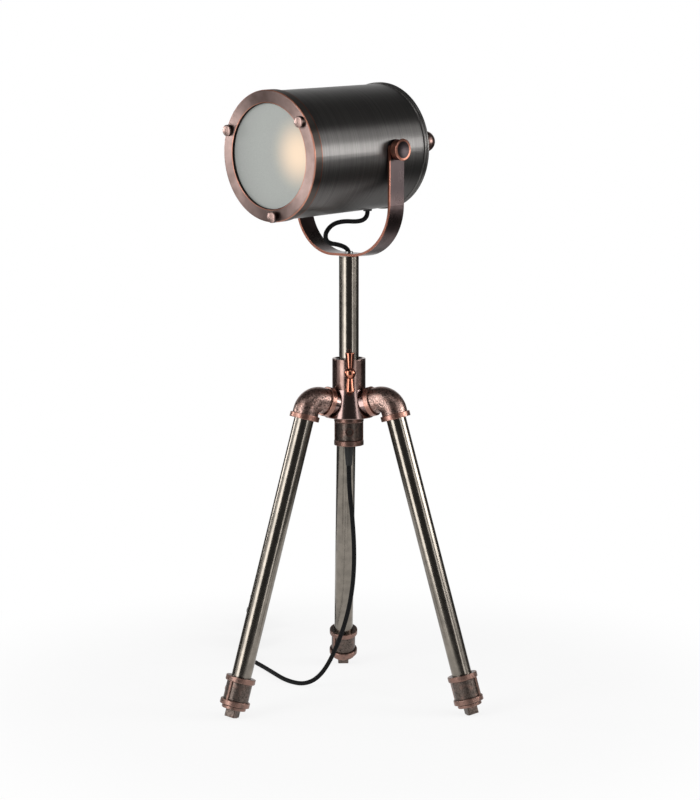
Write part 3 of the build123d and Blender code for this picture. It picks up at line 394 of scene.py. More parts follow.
# Where the rubbed parts, painted highlights and painted shade lie, in millimetres: along the beam,
# out from its axis, above the table, ahead of the mast, and out from the pivots' line.
BEHIND_BEZEL = 90.0
SKIRT_FRONT = 109.4
BACK_EDGE = 100.8
SCREW_SIDE_FRONT = 114.7
FACE_DEPTH = (108.9, 112.0)
OUTER_EDGE = (62.6, 70.0)
INNER_EDGE = (50.95, 51.7)
BORE_WALL = (40.0, 50.95)
ARM_HEIGHT = (512.0, 700.0)
STRAP_EDGE = (9.4, 20.0)
KNOB_FACE = (0.0, 8.0)
KNOB_RIM = (8.3, 20.0)


class RubAndPaintedLight(Enum):
    """Where the copper under a dark finish is rubbed bright, and where light and shade are painted.
    """

    NONE = "none"
    BEZEL = "bezel"
    STRAP = "strap"
    KNOB = "knob"
    SCREW = "screw"


@dataclass(frozen=True)
class AntiqueCopper:
    """Copper plate, darkened and rubbed back: plum brown, with warm bright edges that are rubbed
    copper and painted highlight.
    """

    name: str = "antique_copper"
    body: str = "#877069"
    shade: str = "#6c5650"
    # rubbed copper at edges and rims, with a painted highlight
    bright: str = "#c98d78"
    roughness: float = 0.30
    rub_and_light: RubAndPaintedLight = RubAndPaintedLight.NONE
    spun: bool = False
    skirt: str = "#5d5753"  # the bezel's blackened skirt
    back_edge: str = "#80503f"
    # painted shade on the wall of the bezel's bore
    painted_bore_shade: str = "#2a2422"
    # painted shade on the screw heads' sides
    painted_screw_side_shade: str = "#3a302d"
    painted_arm_shade: str = "#3b3333"  # painted shade on the strap's arms beside the drum
    # painted shade on the knob's face
    painted_knob_face_shade: str = "#332d2e"
    clouds_per_metre: float = 80.0  # clouds about 12 mm across
    marks_per_metre: float = 900.0  # brushing marks about 1 mm apart

    def build(self) -> bpy.types.Material:
        """Makes the material.

        Returns:
            A satin metal, clouded at about 12 mm and finely brushed, with rubbed edges, painted
            highlights and painted shade where asked.
        """
        material, tree, shader = blank(self.name)
        shader.inputs["Metallic"].default_value = 1.0
        where = add_node(tree, "ShaderNodeTexCoord").outputs["Object"]
        clouds = add_node(tree, "ShaderNodeTexNoise", inputs={
            0: where, "Scale": self.clouds_per_metre, "Detail": 4.0})
        fine = add_node(tree, "ShaderNodeTexNoise", inputs={
            0: where, "Scale": self.marks_per_metre, "Detail": 2.0})
        tint = ramp(tree, clouds.outputs[0], [
            (0.35, linear(self.shade)), (0.65, linear(self.body))])
        if self.rub_and_light is RubAndPaintedLight.BEZEL:
            tint = self.bezel(tree, where, tint)
        elif self.rub_and_light is RubAndPaintedLight.STRAP:
            tint = self.strap(tree, where, tint)
        elif self.rub_and_light is RubAndPaintedLight.KNOB:
            tint = self.knob(tree, where, tint)
        elif self.rub_and_light is RubAndPaintedLight.SCREW:
            tint = self.screw(tree, where, tint)
        if self.spun:
            # Turned on a lathe: the marks run round the head's axis, so its glints fan out.
            offset = add_node(tree, "ShaderNodeVectorMath", {"operation": "SUBTRACT"}, {
                0: where, 1: HEAD.translation})
            around = add_node(tree, "ShaderNodeVectorMath", {"operation": "CROSS_PRODUCT"}, {
                0: BEAM, 1: offset.outputs[0]})
            brush_along(tree, shader, around.outputs[0])
            shader.inputs["Anisotropic"].default_value = 0.95
            shader.inputs["Anisotropic Rotation"].default_value = 0.25
        rough = add_node(tree, "ShaderNodeMapRange", inputs={
            0: clouds.outputs[0], 3: self.roughness - 0.05, 4: self.roughness + 0.08})
        bump = add_node(tree, "ShaderNodeBump", inputs={
            "Strength": 0.06, "Distance": 0.0002, "Height": fine.outputs[0]})
        tree.links.new(tint, shader.inputs["Base Color"])
        tree.links.new(rough.outputs[0], shader.inputs["Roughness"])
        tree.links.new(bump.outputs[0], shader.inputs["Normal"])
        return material

    def bezel(
        self,
        tree: bpy.types.NodeTree,
        where: bpy.types.NodeSocket,
        tint: bpy.types.NodeSocket,
    ) -> bpy.types.NodeSocket:
        """A plum face, rubbed copper with a painted highlight at its inner and outer edges, copper
        at its back edge, a blackened skirt and painted shade on the bore's wall.

        Args:
            tree: The material's nodes.
            where: Object coordinates.
            tint: The colour so far.

        Returns:
            The colour with its rubbed rings, painted highlights and painted shade.
        """
        radial, along = about_axis(tree, where, HEAD.translation, BEAM)
        skirt = band(tree, along, BEHIND_BEZEL, SKIRT_FRONT, 0.6)
        outer_rub_and_highlight = both(tree, band(tree, radial, *OUTER_EDGE, 0.5),
                     band(tree, along, *FACE_DEPTH, 0.4))
        inner_rub_and_highlight = band(tree, radial, *INNER_EDGE, 0.2)
        back = band(tree, along, BEHIND_BEZEL, BACK_EDGE, 0.4)
        tint = mixed(tree, skirt, tint, linear(self.skirt))
        tint = mixed(tree, back, tint, linear(self.back_edge))
        # the inner and outer edges are rubbed copper with a painted highlight
        tint = mixed(tree, either(tree, outer_rub_and_highlight, inner_rub_and_highlight), tint, linear(self.bright))
        # painted shade on the bore's wall
        return mixed(tree, band(tree, radial, *BORE_WALL, 0.2), tint, linear(self.painted_bore_shade))

    def screw(
        self,
        tree: bpy.types.NodeTree,
        where: bpy.types.NodeSocket,
        tint: bpy.types.NodeSocket,
    ) -> bpy.types.NodeSocket:
        """A rubbed dome on sides darkened as painted shade.

        Args:
            tree: The material's nodes.
            where: Object coordinates.
            tint: The colour so far.

        Returns:
            The colour with painted shade on its sides.
        """
        _, along = about_axis(tree, where, HEAD.translation, BEAM)
        side_shade = band(tree, along, BEHIND_BEZEL, SCREW_SIDE_FRONT, 0.3)
        # painted shade on the sides of the screw heads
        return mixed(tree, side_shade, tint, linear(self.painted_screw_side_shade))

    def strap(
        self,
        tree: bpy.types.NodeTree,
        where: bpy.types.NodeSocket,
        tint: bpy.types.NodeSocket,
    ) -> bpy.types.NodeSocket:
        """A painted highlight along the strap's front edge, and painted shade on the arms beside
        the drum.

        Args:
            tree: The material's nodes.
            where: Object coordinates.
            tint: The colour so far.

        Returns:
            The colour with its painted highlight and painted shade.
        """
        ahead = add_node(tree, "ShaderNodeVectorMath", {"operation": "DOT_PRODUCT"}, {
            0: where, 1: HEADING})
        height = add_node(tree, "ShaderNodeSeparateXYZ", inputs={0: where}).outputs[2]
        arm_shade = band(tree, height, *ARM_HEIGHT, 24.0)
        edge = band(tree, ahead.outputs["Value"], *STRAP_EDGE, 0.5)
        # painted shade on the arms beside the drum, and a painted highlight along the front edge
        tint = mixed(tree, arm_shade, tint, linear(self.painted_arm_shade))
        return mixed(tree, edge, tint, linear(self.bright))

    def knob(
        self,
        tree: bpy.types.NodeTree,
        where: bpy.types.NodeSocket,
        tint: bpy.types.NodeSocket,
    ) -> bpy.types.NodeSocket:
        """A bright rim, rubbed copper with a painted highlight, round a face darkened as painted
        shade.

        Args:
            tree: The material's nodes.
            where: Object coordinates.
            tint: The colour so far.

        Returns:
            The colour with its bright rim and its painted shade.
        """
        radial, _ = about_axis(tree, where, HEAD.translation, ACROSS)
        # painted shade on the face; the rim is rubbed copper with a painted highlight
        tint = mixed(tree, band(tree, radial, *KNOB_FACE, 0.8), tint, linear(self.painted_knob_face_shade))
        return mixed(tree, band(tree, radial, *KNOB_RIM, 0.5), tint, linear(self.bright))


BEYOND_FITTING = 40.0  # farther out from its axis than any fitting reaches


@dataclass(frozen=True)
class CastFitting:
    """Malleable iron, sand cast and bronzed dark, its copper rubbed bright on bands and ribs."""

    name: str
    low: str = "#4d4540"
    body: str = "#675c56"
    copper: str = "#8b6d63"
    roughness: float = 0.36
    axes: tuple[tuple[Vector, Vector, float, float], ...] = ()  # start, way, and the bands' span
    high_from: float = 13.3  # how far out from its axis the rubbed metal begins
    pit: str = "#2b2421"
    pits_per_metre: float = 650.0  # sand pits about 1.5 mm across
    patches_per_metre: float = 140.0  # worn patches about 7 mm across

    def build(self) -> bpy.types.Material:
        """Makes the material.

        Returns:
            A grainy dark metal, brighter where hands and tools rub it.
        """
        material, tree, shader = blank(self.name)
        shader.inputs["Metallic"].default_value = 1.0
        where = add_node(tree, "ShaderNodeTexCoord").outputs["Object"]
        pits = add_node(tree, "ShaderNodeTexNoise", inputs={
            0: where, "Scale": self.pits_per_metre, "Detail": 3.0})
        patches = add_node(tree, "ShaderNodeTexNoise", inputs={
            0: where, "Scale": self.patches_per_metre, "Detail": 3.0})
        tint = ramp(tree, pits.outputs[0], [
            (0.30, linear(self.pit)), (0.38, linear(self.low)), (0.62, linear(self.body))])
        worn = ramp(tree, patches.outputs[0], [(0.52, grey(0.0)), (0.74, grey(0.5))])
        rubbed = ramp(tree, patches.outputs[0], [(0.30, grey(0.35)), (0.55, grey(1.0))])
        masks = [worn]
        for start, direction, low, high in self.axes:
            radial, along = about_axis(tree, where, start, direction)
            proud = both(tree, band(tree, radial, self.high_from, BEYOND_FITTING, 0.7),
                         band(tree, along, low, high, 0.6))
            masks.append(both(tree, proud, rubbed))
        tint = mixed(tree, either(tree, *masks), tint, linear(self.copper))
        bump = add_node(tree, "ShaderNodeBump", inputs={
            "Strength": 0.25, "Distance": 0.0005, "Height": pits.outputs[0]})
        rough = add_node(tree, "ShaderNodeMapRange", inputs={
            0: pits.outputs[0], 3: self.roughness + 0.10, 4: self.roughness - 0.06})
        tree.links.new(tint, shader.inputs["Base Color"])
        tree.links.new(rough.outputs[0], shader.inputs["Roughness"])
        tree.links.new(bump.outputs[0], shader.inputs["Normal"])
        return material


@dataclass(frozen=True)
class PlainFinish:
    """A plated, moulded or rubber finish told apart by its colour, gloss and grain."""

    name: str
    colour: str
    metallic: float = 0.0
    roughness: float = 0.5
    grain_mm: float = 0.6
    grain_depth: float = 0.05
    dim: float = 0.8  # how dark the mottling's low spots are

    def build(self) -> bpy.types.Material:
        """Makes the material.

        Returns:
            A finish with a light mottling and a fine surface grain.
        """
        material, tree, shader = blank(self.name)
        shader.inputs["Metallic"].default_value = self.metallic
        where = add_node(tree, "ShaderNodeTexCoord").outputs["Object"]
        grain = add_node(tree, "ShaderNodeTexNoise", inputs={
            0: where, "Scale": 1.0 / (self.grain_mm * MM), "Detail": 2.0})
        full = linear(self.colour)
        low = (full[0] * self.dim, full[1] * self.dim, full[2] * self.dim, 1.0)
        tint = ramp(tree, grain.outputs[0], [(0.35, low), (0.65, full)])
        bump = add_node(tree, "ShaderNodeBump", inputs={
            "Strength": self.grain_depth, "Distance": 0.0002, "Height": grain.outputs[0]})
        rough = add_node(tree, "ShaderNodeMapRange", inputs={
            0: grain.outputs[0], 3: self.roughness - 0.04, 4: self.roughness + 0.04})
        tree.links.new(tint, shader.inputs["Base Color"])
        tree.links.new(rough.outputs[0], shader.inputs["Roughness"])
        tree.links.new(bump.outputs[0], shader.inputs["Normal"])
        return material


@dataclass(frozen=True)
class FrostedGlass:
    """Etched soda-lime glass: pale grey-green and matt, with a painted warm glow on one side where
    the bulb stands behind it.
    """

    name: str = "frosted_glass"
    colour: str = "#9a9d99"
    etched: str = "#8d908c"
    glow: str = "#f6cba4"
    warm: str = "#d9c4ab"
    painted_dusk: str = "#777876"  # painted shade on the far side, which would get less of the bulb's light
    painted_glow_centre: Point = (39.0, 3.0, 107.0)
    painted_glow_radius: float = 0.044
    dusk_from: float = 0.050
    dusk_to: float = 0.105
    glow_strength: float = 0.095
    grit_per_metre: float = 1600.0  # etching 0.6 mm across, drawn coarse so that it shows

    def build(self) -> bpy.types.Material:
        """Makes the material.

        Returns:
            A matt pane with a soft painted warm glow, which also emits, where the bulb stands
            behind it, and painted shade on the far side.
        """
        material, tree, shader = blank(self.name)
        shader.inputs["Roughness"].default_value = 0.55
        shader.inputs["IOR"].default_value = 1.5
        where = add_node(tree, "ShaderNodeTexCoord").outputs["Object"]
        etch = add_node(tree, "ShaderNodeTexNoise", inputs={
            0: where, "Scale": self.grit_per_metre, "Detail": 2.0})
        body = ramp(tree, etch.outputs[0], [(0.3, linear(self.etched)), (0.7, linear(self.colour))])
        centre = HEAD @ (Vector(self.painted_glow_centre) * MM)
        away = add_node(tree, "ShaderNodeVectorMath", {"operation": "DISTANCE"}, {
            0: where, 1: centre})
        # a painted warm glow where the bulb stands behind the pane, and painted shade on its far
        # side
        painted_glow = add_node(tree, "ShaderNodeMapRange", {"interpolation_type": "SMOOTHERSTEP"}, {
            0: away.outputs["Value"], 1: 0.0, 2: self.painted_glow_radius, 3: 1.0, 4: 0.0})
        painted_dusk = add_node(tree, "ShaderNodeMapRange", SMOOTH, {
            0: away.outputs["Value"], 1: self.dusk_from, 2: self.dusk_to, 4: 0.6})
        body = mixed(tree, painted_dusk.outputs[0], body, linear(self.painted_dusk))
        tint = mixed(tree, painted_glow.outputs[0], body, linear(self.warm))
        bump = add_node(tree, "ShaderNodeBump", inputs={
            "Strength": 0.1, "Distance": 0.0002, "Height": etch.outputs[0]})
        light = add_node(tree, "ShaderNodeMath", {"operation": "MULTIPLY"}, {
            0: painted_glow.outputs[0], 1: self.glow_strength})
        tree.links.new(tint, shader.inputs["Base Color"])
        tree.links.new(bump.outputs[0], shader.inputs["Normal"])
        shader.inputs["Emission Color"].default_value = linear(self.glow)
        tree.links.new(light.outputs[0], shader.inputs["Emission Strength"])
        return material


@dataclass(frozen=True)
class BraidedCord:
    """Black cotton braid over rubber: matt, with a woven criss-cross 1.2 mm apart."""

    name: str
    length_mm: float
    yarn_mm: float = 1.2
    repeat: float = 2.2  # yarn widths in one repeat of the braid
    strands: float = 6.0  # crossings round the cord
    # painted shade in the grooves between the yarns
    groove_shade: str = "#020203"
    yarn: str = "#161618"

    def build(self) -> bpy.types.Material:
        """Makes the material from the piece's own map, which runs along and round the cord.

        Returns:
            A black textile with raised crossing yarns and painted shade in the grooves between
            them.
        """
        material, tree, shader = blank(self.name)
        shader.inputs["Roughness"].default_value = 0.78
        shader.inputs["Specular IOR Level"].default_value = 0.2
        spot = add_node(tree, "ShaderNodeTexCoord").outputs["UV"]
        parts = add_node(tree, "ShaderNodeSeparateXYZ", inputs={0: spot})
        along = add_node(tree, "ShaderNodeMath", {"operation": "MULTIPLY"}, {
            0: parts.outputs[0], 1: 2 * pi * self.length_mm / (self.repeat * self.yarn_mm)})
        round_it = add_node(tree, "ShaderNodeMath", {"operation": "MULTIPLY"}, {
            0: parts.outputs[1], 1: 2 * pi * self.strands})
        waves = []
        for way in ("ADD", "SUBTRACT"):
            phase = add_node(tree, "ShaderNodeMath", {"operation": way}, {
                0: along.outputs[0], 1: round_it.outputs[0]})
            waves.append(add_node(tree, "ShaderNodeMath", {"operation": "SINE"}, {
                0: phase.outputs[0]}))
        weave = add_node(tree, "ShaderNodeMath", {"operation": "MULTIPLY"}, {
            0: waves[0].outputs[0], 1: waves[1].outputs[0]})
        height = add_node(tree, "ShaderNodeMapRange", inputs={0: weave.outputs[0], 1: -1.0, 2: 1.0})
        # the yarn is one black; the dark grooves between the yarns are painted shade
        tint = ramp(tree, height.outputs[0], [
            (0.35, linear(self.groove_shade)), (0.95, linear(self.yarn))])
        bump = add_node(tree, "ShaderNodeBump", inputs={
            "Strength": 0.6, "Distance": 0.0003, "Height": height.outputs[0]})
        tree.links.new(tint, shader.inputs["Base Color"])
        tree.links.new(bump.outputs[0], shader.inputs["Normal"])
        return material


# ---------------------------------------------------------------- dressing


def dress(objects: Iterable[bpy.types.Object], material: bpy.types.Material) -> None:
    """Gives objects one material in all their slots.

    Args:
        objects: Frame nodes or new pieces.
        material: The finish.
    """
    for thing in objects:
        if not thing.material_slots:
            thing.data.materials.append(material)
        for socket in thing.material_slots:
            socket.material = material
        LOG.info("%s wears %s", thing.name, material.name)


def nodes(*names: str) -> list[bpy.types.Object]:
    """The frame's objects of those names."""
    return [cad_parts[name] for name in names]


def link(data: bpy.types.ID, name: str) -> bpy.types.Object:
    """Puts a mesh, curve, lamp or camera into the scene as an object at the origin.

    Args:
        data: What the object shows.
        name: The object's name.

    Returns:
        The new object.
    """
    thing = bpy.data.objects.new(name, data)
    bpy.context.scene.collection.objects.link(thing)
    LOG.info("made %s", name)
    return thing


def from_bmesh(work: bmesh.types.BMesh, name: str, sharp_degrees: float = 32.0) -> bpy.types.Object:
    """Turns a bmesh into an object with smooth faces and hard edges.

    Args:
        work: The mesh, which is freed.
        name: The object's name.
        sharp_degrees: Edges that fold more than this stay sharp.

    Returns:
        The new object.
    """
    for face in work.faces:
        face.smooth = True
    for edge in work.edges:
        if len(edge.link_faces) == 2 and edge.calc_face_angle(0.0) > radians(sharp_degrees):
            edge.smooth = False
    mesh = bpy.data.meshes.new(name)
    work.to_mesh(mesh)
    work.free()
    return link(mesh, name)


# ---------------------------------------------------------------- cords


CORD_RADIUS = 2.3
OCTAGON = 0.414  # the tangent of 22.5 degrees, which places a half octagon's corners
CORNERS = ((OCTAGON, 1.0), (1.0, OCTAGON), (1.0, -OCTAGON), (OCTAGON, -1.0))


def route_curve(name: str, points_mm: Sequence[Point], radius_mm: float) -> bpy.types.Object:
    """A NURBS curve through the route's control points.

    Args:
        name: The object's name.
        points_mm: The route.
        radius_mm: The tube's radius, or nought for the bare line.

    Returns:
        The curve object.
    """
    curve = bpy.data.curves.new(name, "CURVE")
    curve.dimensions = "3D"
    curve.resolution_u = 10
    curve.bevel_depth = radius_mm * MM
    curve.bevel_resolution = 5
    curve.use_fill_caps = radius_mm > 0
    spline = curve.splines.new("NURBS")
    spline.points.add(len(points_mm) - 1)
    for spot, (x, y, z) in zip(spline.points, points_mm):
        spot.co = (x * MM, y * MM, z * MM, 1.0)
    spline.order_u = 3
    spline.use_endpoint_u = True
    return link(curve, name)


def bare_line(points_mm: Sequence[Point]) -> list[Vector]:
    """Points read from the route's own NURBS line, with no bevel.

    Args:
        points_mm: The route.

    Returns:
        Points along the line, in metres.
    """
    guide = route_curve("route_line", points_mm, 0.0)
    bpy.context.view_layer.update()
    mesh = bpy.data.meshes.new_from_object(guide)
    line = [vertex.co.copy() for vertex in mesh.vertices]
    bpy.data.objects.remove(guide)
    bpy.data.meshes.remove(mesh)
    return line


def line_length(line: Sequence[Vector]) -> float:
    """The length of a run of points."""
    return sum((b - a).length for a, b in zip(line, line[1:]))


@dataclass
class PowerCord:
    """The mains cord: from the strain relief to its switch, then a tied hank and a flat plug."""

    radius: float = CORD_RADIUS
    loose: list[Point] = field(default_factory=lambda: [
        (0, 0, 241.8),
        (0, 0, 221),
        (2.8, 0.5, 196),
        (5.2, 3.5, 166),
        (5.7, 4.5, 140),
        (4.3, 9.0, 114),
        (0.6, 13.5, 90),
        (-4.7, 19.0, 68),
        (-11.2, 25.5, 48),
        (-18.4, 31.0, 30),
        (-26.3, 37.0, 15.5),
        (-35.5, 41.0, 6.2),
        (-46.5, 43.5, 2.35),
        (-57.5, 51.0, 2.35),
        (-66.5, 64.5, 2.35),
        (-73.5, 81.0, 2.35),
        (-80.5, 98.0, 2.35),
        (-88.5, 117.0, 2.35),
        (-96.0, 133.0, 2.35),
        (-100.6, 147.5, 2.75),
        (-102.9, 162.0, 5.75),
    ])
    row_origin: Point = (-100.6, 200.0, 0.0)
    row_side: Point = (0.9982, -0.0602, 0.0)
    row_ahead: Point = (0.0602, 0.9982, 0.0)
    switch_start: float = -4.0
    switch_length: float = 58.0
    switch_mid: float = 12.8
    hank_start: float = 75.2
    hank_length: float = 81.6
    hank_mid: float = 14.4
    fold: float = 12.0
    runs: int = 11
    spread: float = 9.8
    lean: float = 0.2  # how far the hank leans to its side per millimetre of height
    tie_reach: float = 9.0  # half the length over which the tie packs the runs
    packed: tuple[Pair, ...] = (
        (-6.6, 4.2), (-4.6, -4.6), (-4.4, 8.8), (-2.3, -9.2), (-2.2, 4.3), (0.0, -4.6),
        (0.0, 9.2), (2.3, -9.2), (2.2, 4.3), (4.6, -4.6), (6.6, 4.2),
    )  # each run in the tie, across and over the hank's middle
    plug_start: float = 180.0
    plug_mid: float = 17.8

    def row(self, across: float, up: float, along: float) -> Point:
        """A point of the put-away row.

        Args:
            across: Millimetres across the row.
            up: Height above the table.
            along: Millimetres along the row.

        Returns:
            The point in the row frame, in millimetres.
        """
        side = Vector(self.row_side).normalized()
        ahead = Vector(self.row_ahead).normalized()
        spot = Vector(self.row_origin) + side * across + ahead * along + Vector((0.0, 0.0, up))
        return (spot.x, spot.y, spot.z)

    def hank_points(self) -> list[Point]:
        """The put-away stretch: from the switch, to and fro through the hank, and out to the plug.

        Returns:
            Its control points, in millimetres.
        """
        start, end = self.hank_start, self.hank_start + self.hank_length
        switch_end = self.switch_start + self.switch_length
        near = start + self.fold + self.radius
        far = end - self.fold - self.radius
        middle = (start + end) / 2
        step = 2 * self.spread / (self.runs - 1)
        points = [
            self.row(0, self.switch_mid, switch_end),
            self.row(0, self.switch_mid, switch_end + 6.0),
            self.row(-2.5, self.hank_mid + 1.0, start - 5.0),
            self.row(-8.5, self.hank_mid + 7.0, start + 7.0),
        ]
        for index in range(self.runs):
            top = index % 2 == 0
            across = -self.spread + 2 * self.spread * index / (self.runs - 1)
            up = self.fold if top else -self.fold
            stations = [(near, across, up), (middle - self.tie_reach, *self.packed[index]),
                        (middle + self.tie_reach, *self.packed[index]), (far, across, up)]
            if not top:
                stations.reverse()
            points += [self.row(side + self.lean * height, self.hank_mid + height, place)
                       for place, side, height in stations]
            if index + 1 < self.runs:
                centre, way = (far, 1.0) if top else (near, -1.0)
                points += self.fold_points(centre, way, across, step, up)
        points += [
            self.row(9.0, self.hank_mid + 8.0, end - 4.0),
            self.row(2.5, self.hank_mid + 2.0, end + 7.0),
            self.row(0, self.plug_mid, self.plug_start - 7.0),
            self.row(0, self.plug_mid, self.plug_start),
        ]
        return points

    def fold_points(
        self,
        centre: float,
        way: float,
        across: float,
        step: float,
        up: float,
    ) -> list[Point]:
        """The half octagon that bends into one fold.

        Args:
            centre: The fold's centre along the row.
            way: One at the far end, minus one at the near end.
            across: Where the run lies that comes in.
            step: How far the next run lies to its side.
            up: The height the run comes in at, over the hank's middle.

        Returns:
            Four control points, in millimetres.
        """
        sign = 1.0 if up > 0 else -1.0
        return [
            self.row(across + step * (index + 0.5) / 4 + self.lean * sign * height * self.fold,
                     self.hank_mid + sign * height * self.fold, centre + way * reach * self.fold)
            for index, (reach, height) in enumerate(CORNERS)
        ]

    def build(self) -> None:
        loose_route = self.loose + [
            self.row(-0.4, self.switch_mid - 2.4, self.switch_start - 22.0),
            self.row(0, self.switch_mid, self.switch_start - 11.0),
            self.row(0, self.switch_mid, self.switch_start),
        ]
        first = route_curve("mains_cord", loose_route, self.radius)
        length = line_length(bare_line(loose_route))
        dress([first], BraidedCord("braided_cord_black", length / MM).build())
        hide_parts("power_cord")
        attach(first, "tripod")
        LOG.info("loose stretch %.3f m", length)
        hank_route = self.hank_points()
        second = route_curve("put_away_cord", hank_route, self.radius)
        length_two = line_length(bare_line(hank_route))
        dress([second], BraidedCord("braided_cord_hank", length_two / MM).build())
        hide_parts("switch_link", "cord_hank", "plug_link")
        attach(second, "tripod")
        LOG.info("put-away stretch %.3f m", length_two)


@dataclass
class HeadLead:
    """The short lead from the drum's grommet, looped forward and down into the mast's stud."""

    radius: float = CORD_RADIUS
    exit_back: float = -23.6
    drum_radius: float = 62.0
    profile: list[Pair] = field(default_factory=lambda: [
        (-26.9, 494.6),
        (-23.4, 490.4),
        (-17.5, 488.4),
        (-8.0, 488.0),
        (3.0, 488.9),
        (13.0, 488.5),
        (21.4, 486.9),
        (28.2, 483.2),
        (33.4, 477.4),
        (32.2, 470.6),
        (25.6, 467.6),
        (17.4, 466.5),
        (9.8, 464.6),
        (4.2, 462.4),
        (0.9, 459.7),
    ])
    end_height: float = 456.5

    def build(self) -> None:
        """Makes the lead as a tube from the drum's grommet down into the mast's stud."""
        start = (HEAD @ (Vector((0.0, -self.drum_radius, self.exit_back)) * MM)) / MM
        points: list[Point] = [(start.x, start.y, start.z)]
        points += [(HEADING.x * ahead, HEADING.y * ahead, height) for ahead, height in self.profile]
        points.append((0.0, 0.0, self.end_height))
        line = bare_line(points)
        soft = route_curve("lead_guide", points, self.radius)
        bpy.context.view_layer.update()
        mesh = bpy.data.meshes.new_from_object(soft)
        bpy.data.objects.remove(soft)
        for face in mesh.polygons:
            face.use_smooth = True
        lead = link(mesh, "drum_lead")
        length = line_length(line)
        mesh.materials.clear()
        dress([lead], BraidedCord("braided_lead_black", length / MM).build())
        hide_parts("head_lead")
        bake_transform(lead)


# ---------------------------------------------------------------- studio


@dataclass(frozen=True)
class SoftBox:
    """One rectangular soft box that faces the object and shows only in its metal."""

    name: str
    turn: float  # its direction in degrees from the front, to the right
    size: Pair  # its width and height in metres
    height: float  # how high its middle is, in metres
    glow: float  # how bright it looks in a mirror, where one is paper white
    away: float = 1.6
    aim_height: float = 0.86  # no box looks higher than this

    def build(self) -> None:
        """Hangs the box and turns it to the object."""
        data = bpy.data.lights.new(self.name, "AREA")
        data.shape = "RECTANGLE"
        data.size, data.size_y = self.size
        data.energy = self.glow * pi * self.size[0] * self.size[1]
        thing = link(data, self.name)
        turn = radians(self.turn)
        spot = Vector((sin(turn) * self.away, -cos(turn) * self.away, self.height))
        aim = Vector((0.0, 0.0, min(self.height, self.aim_height)))
        thing.location = spot
        thing.rotation_euler = (aim - spot).to_track_quat("-Z", "Y").to_euler()
        thing.visible_camera = False


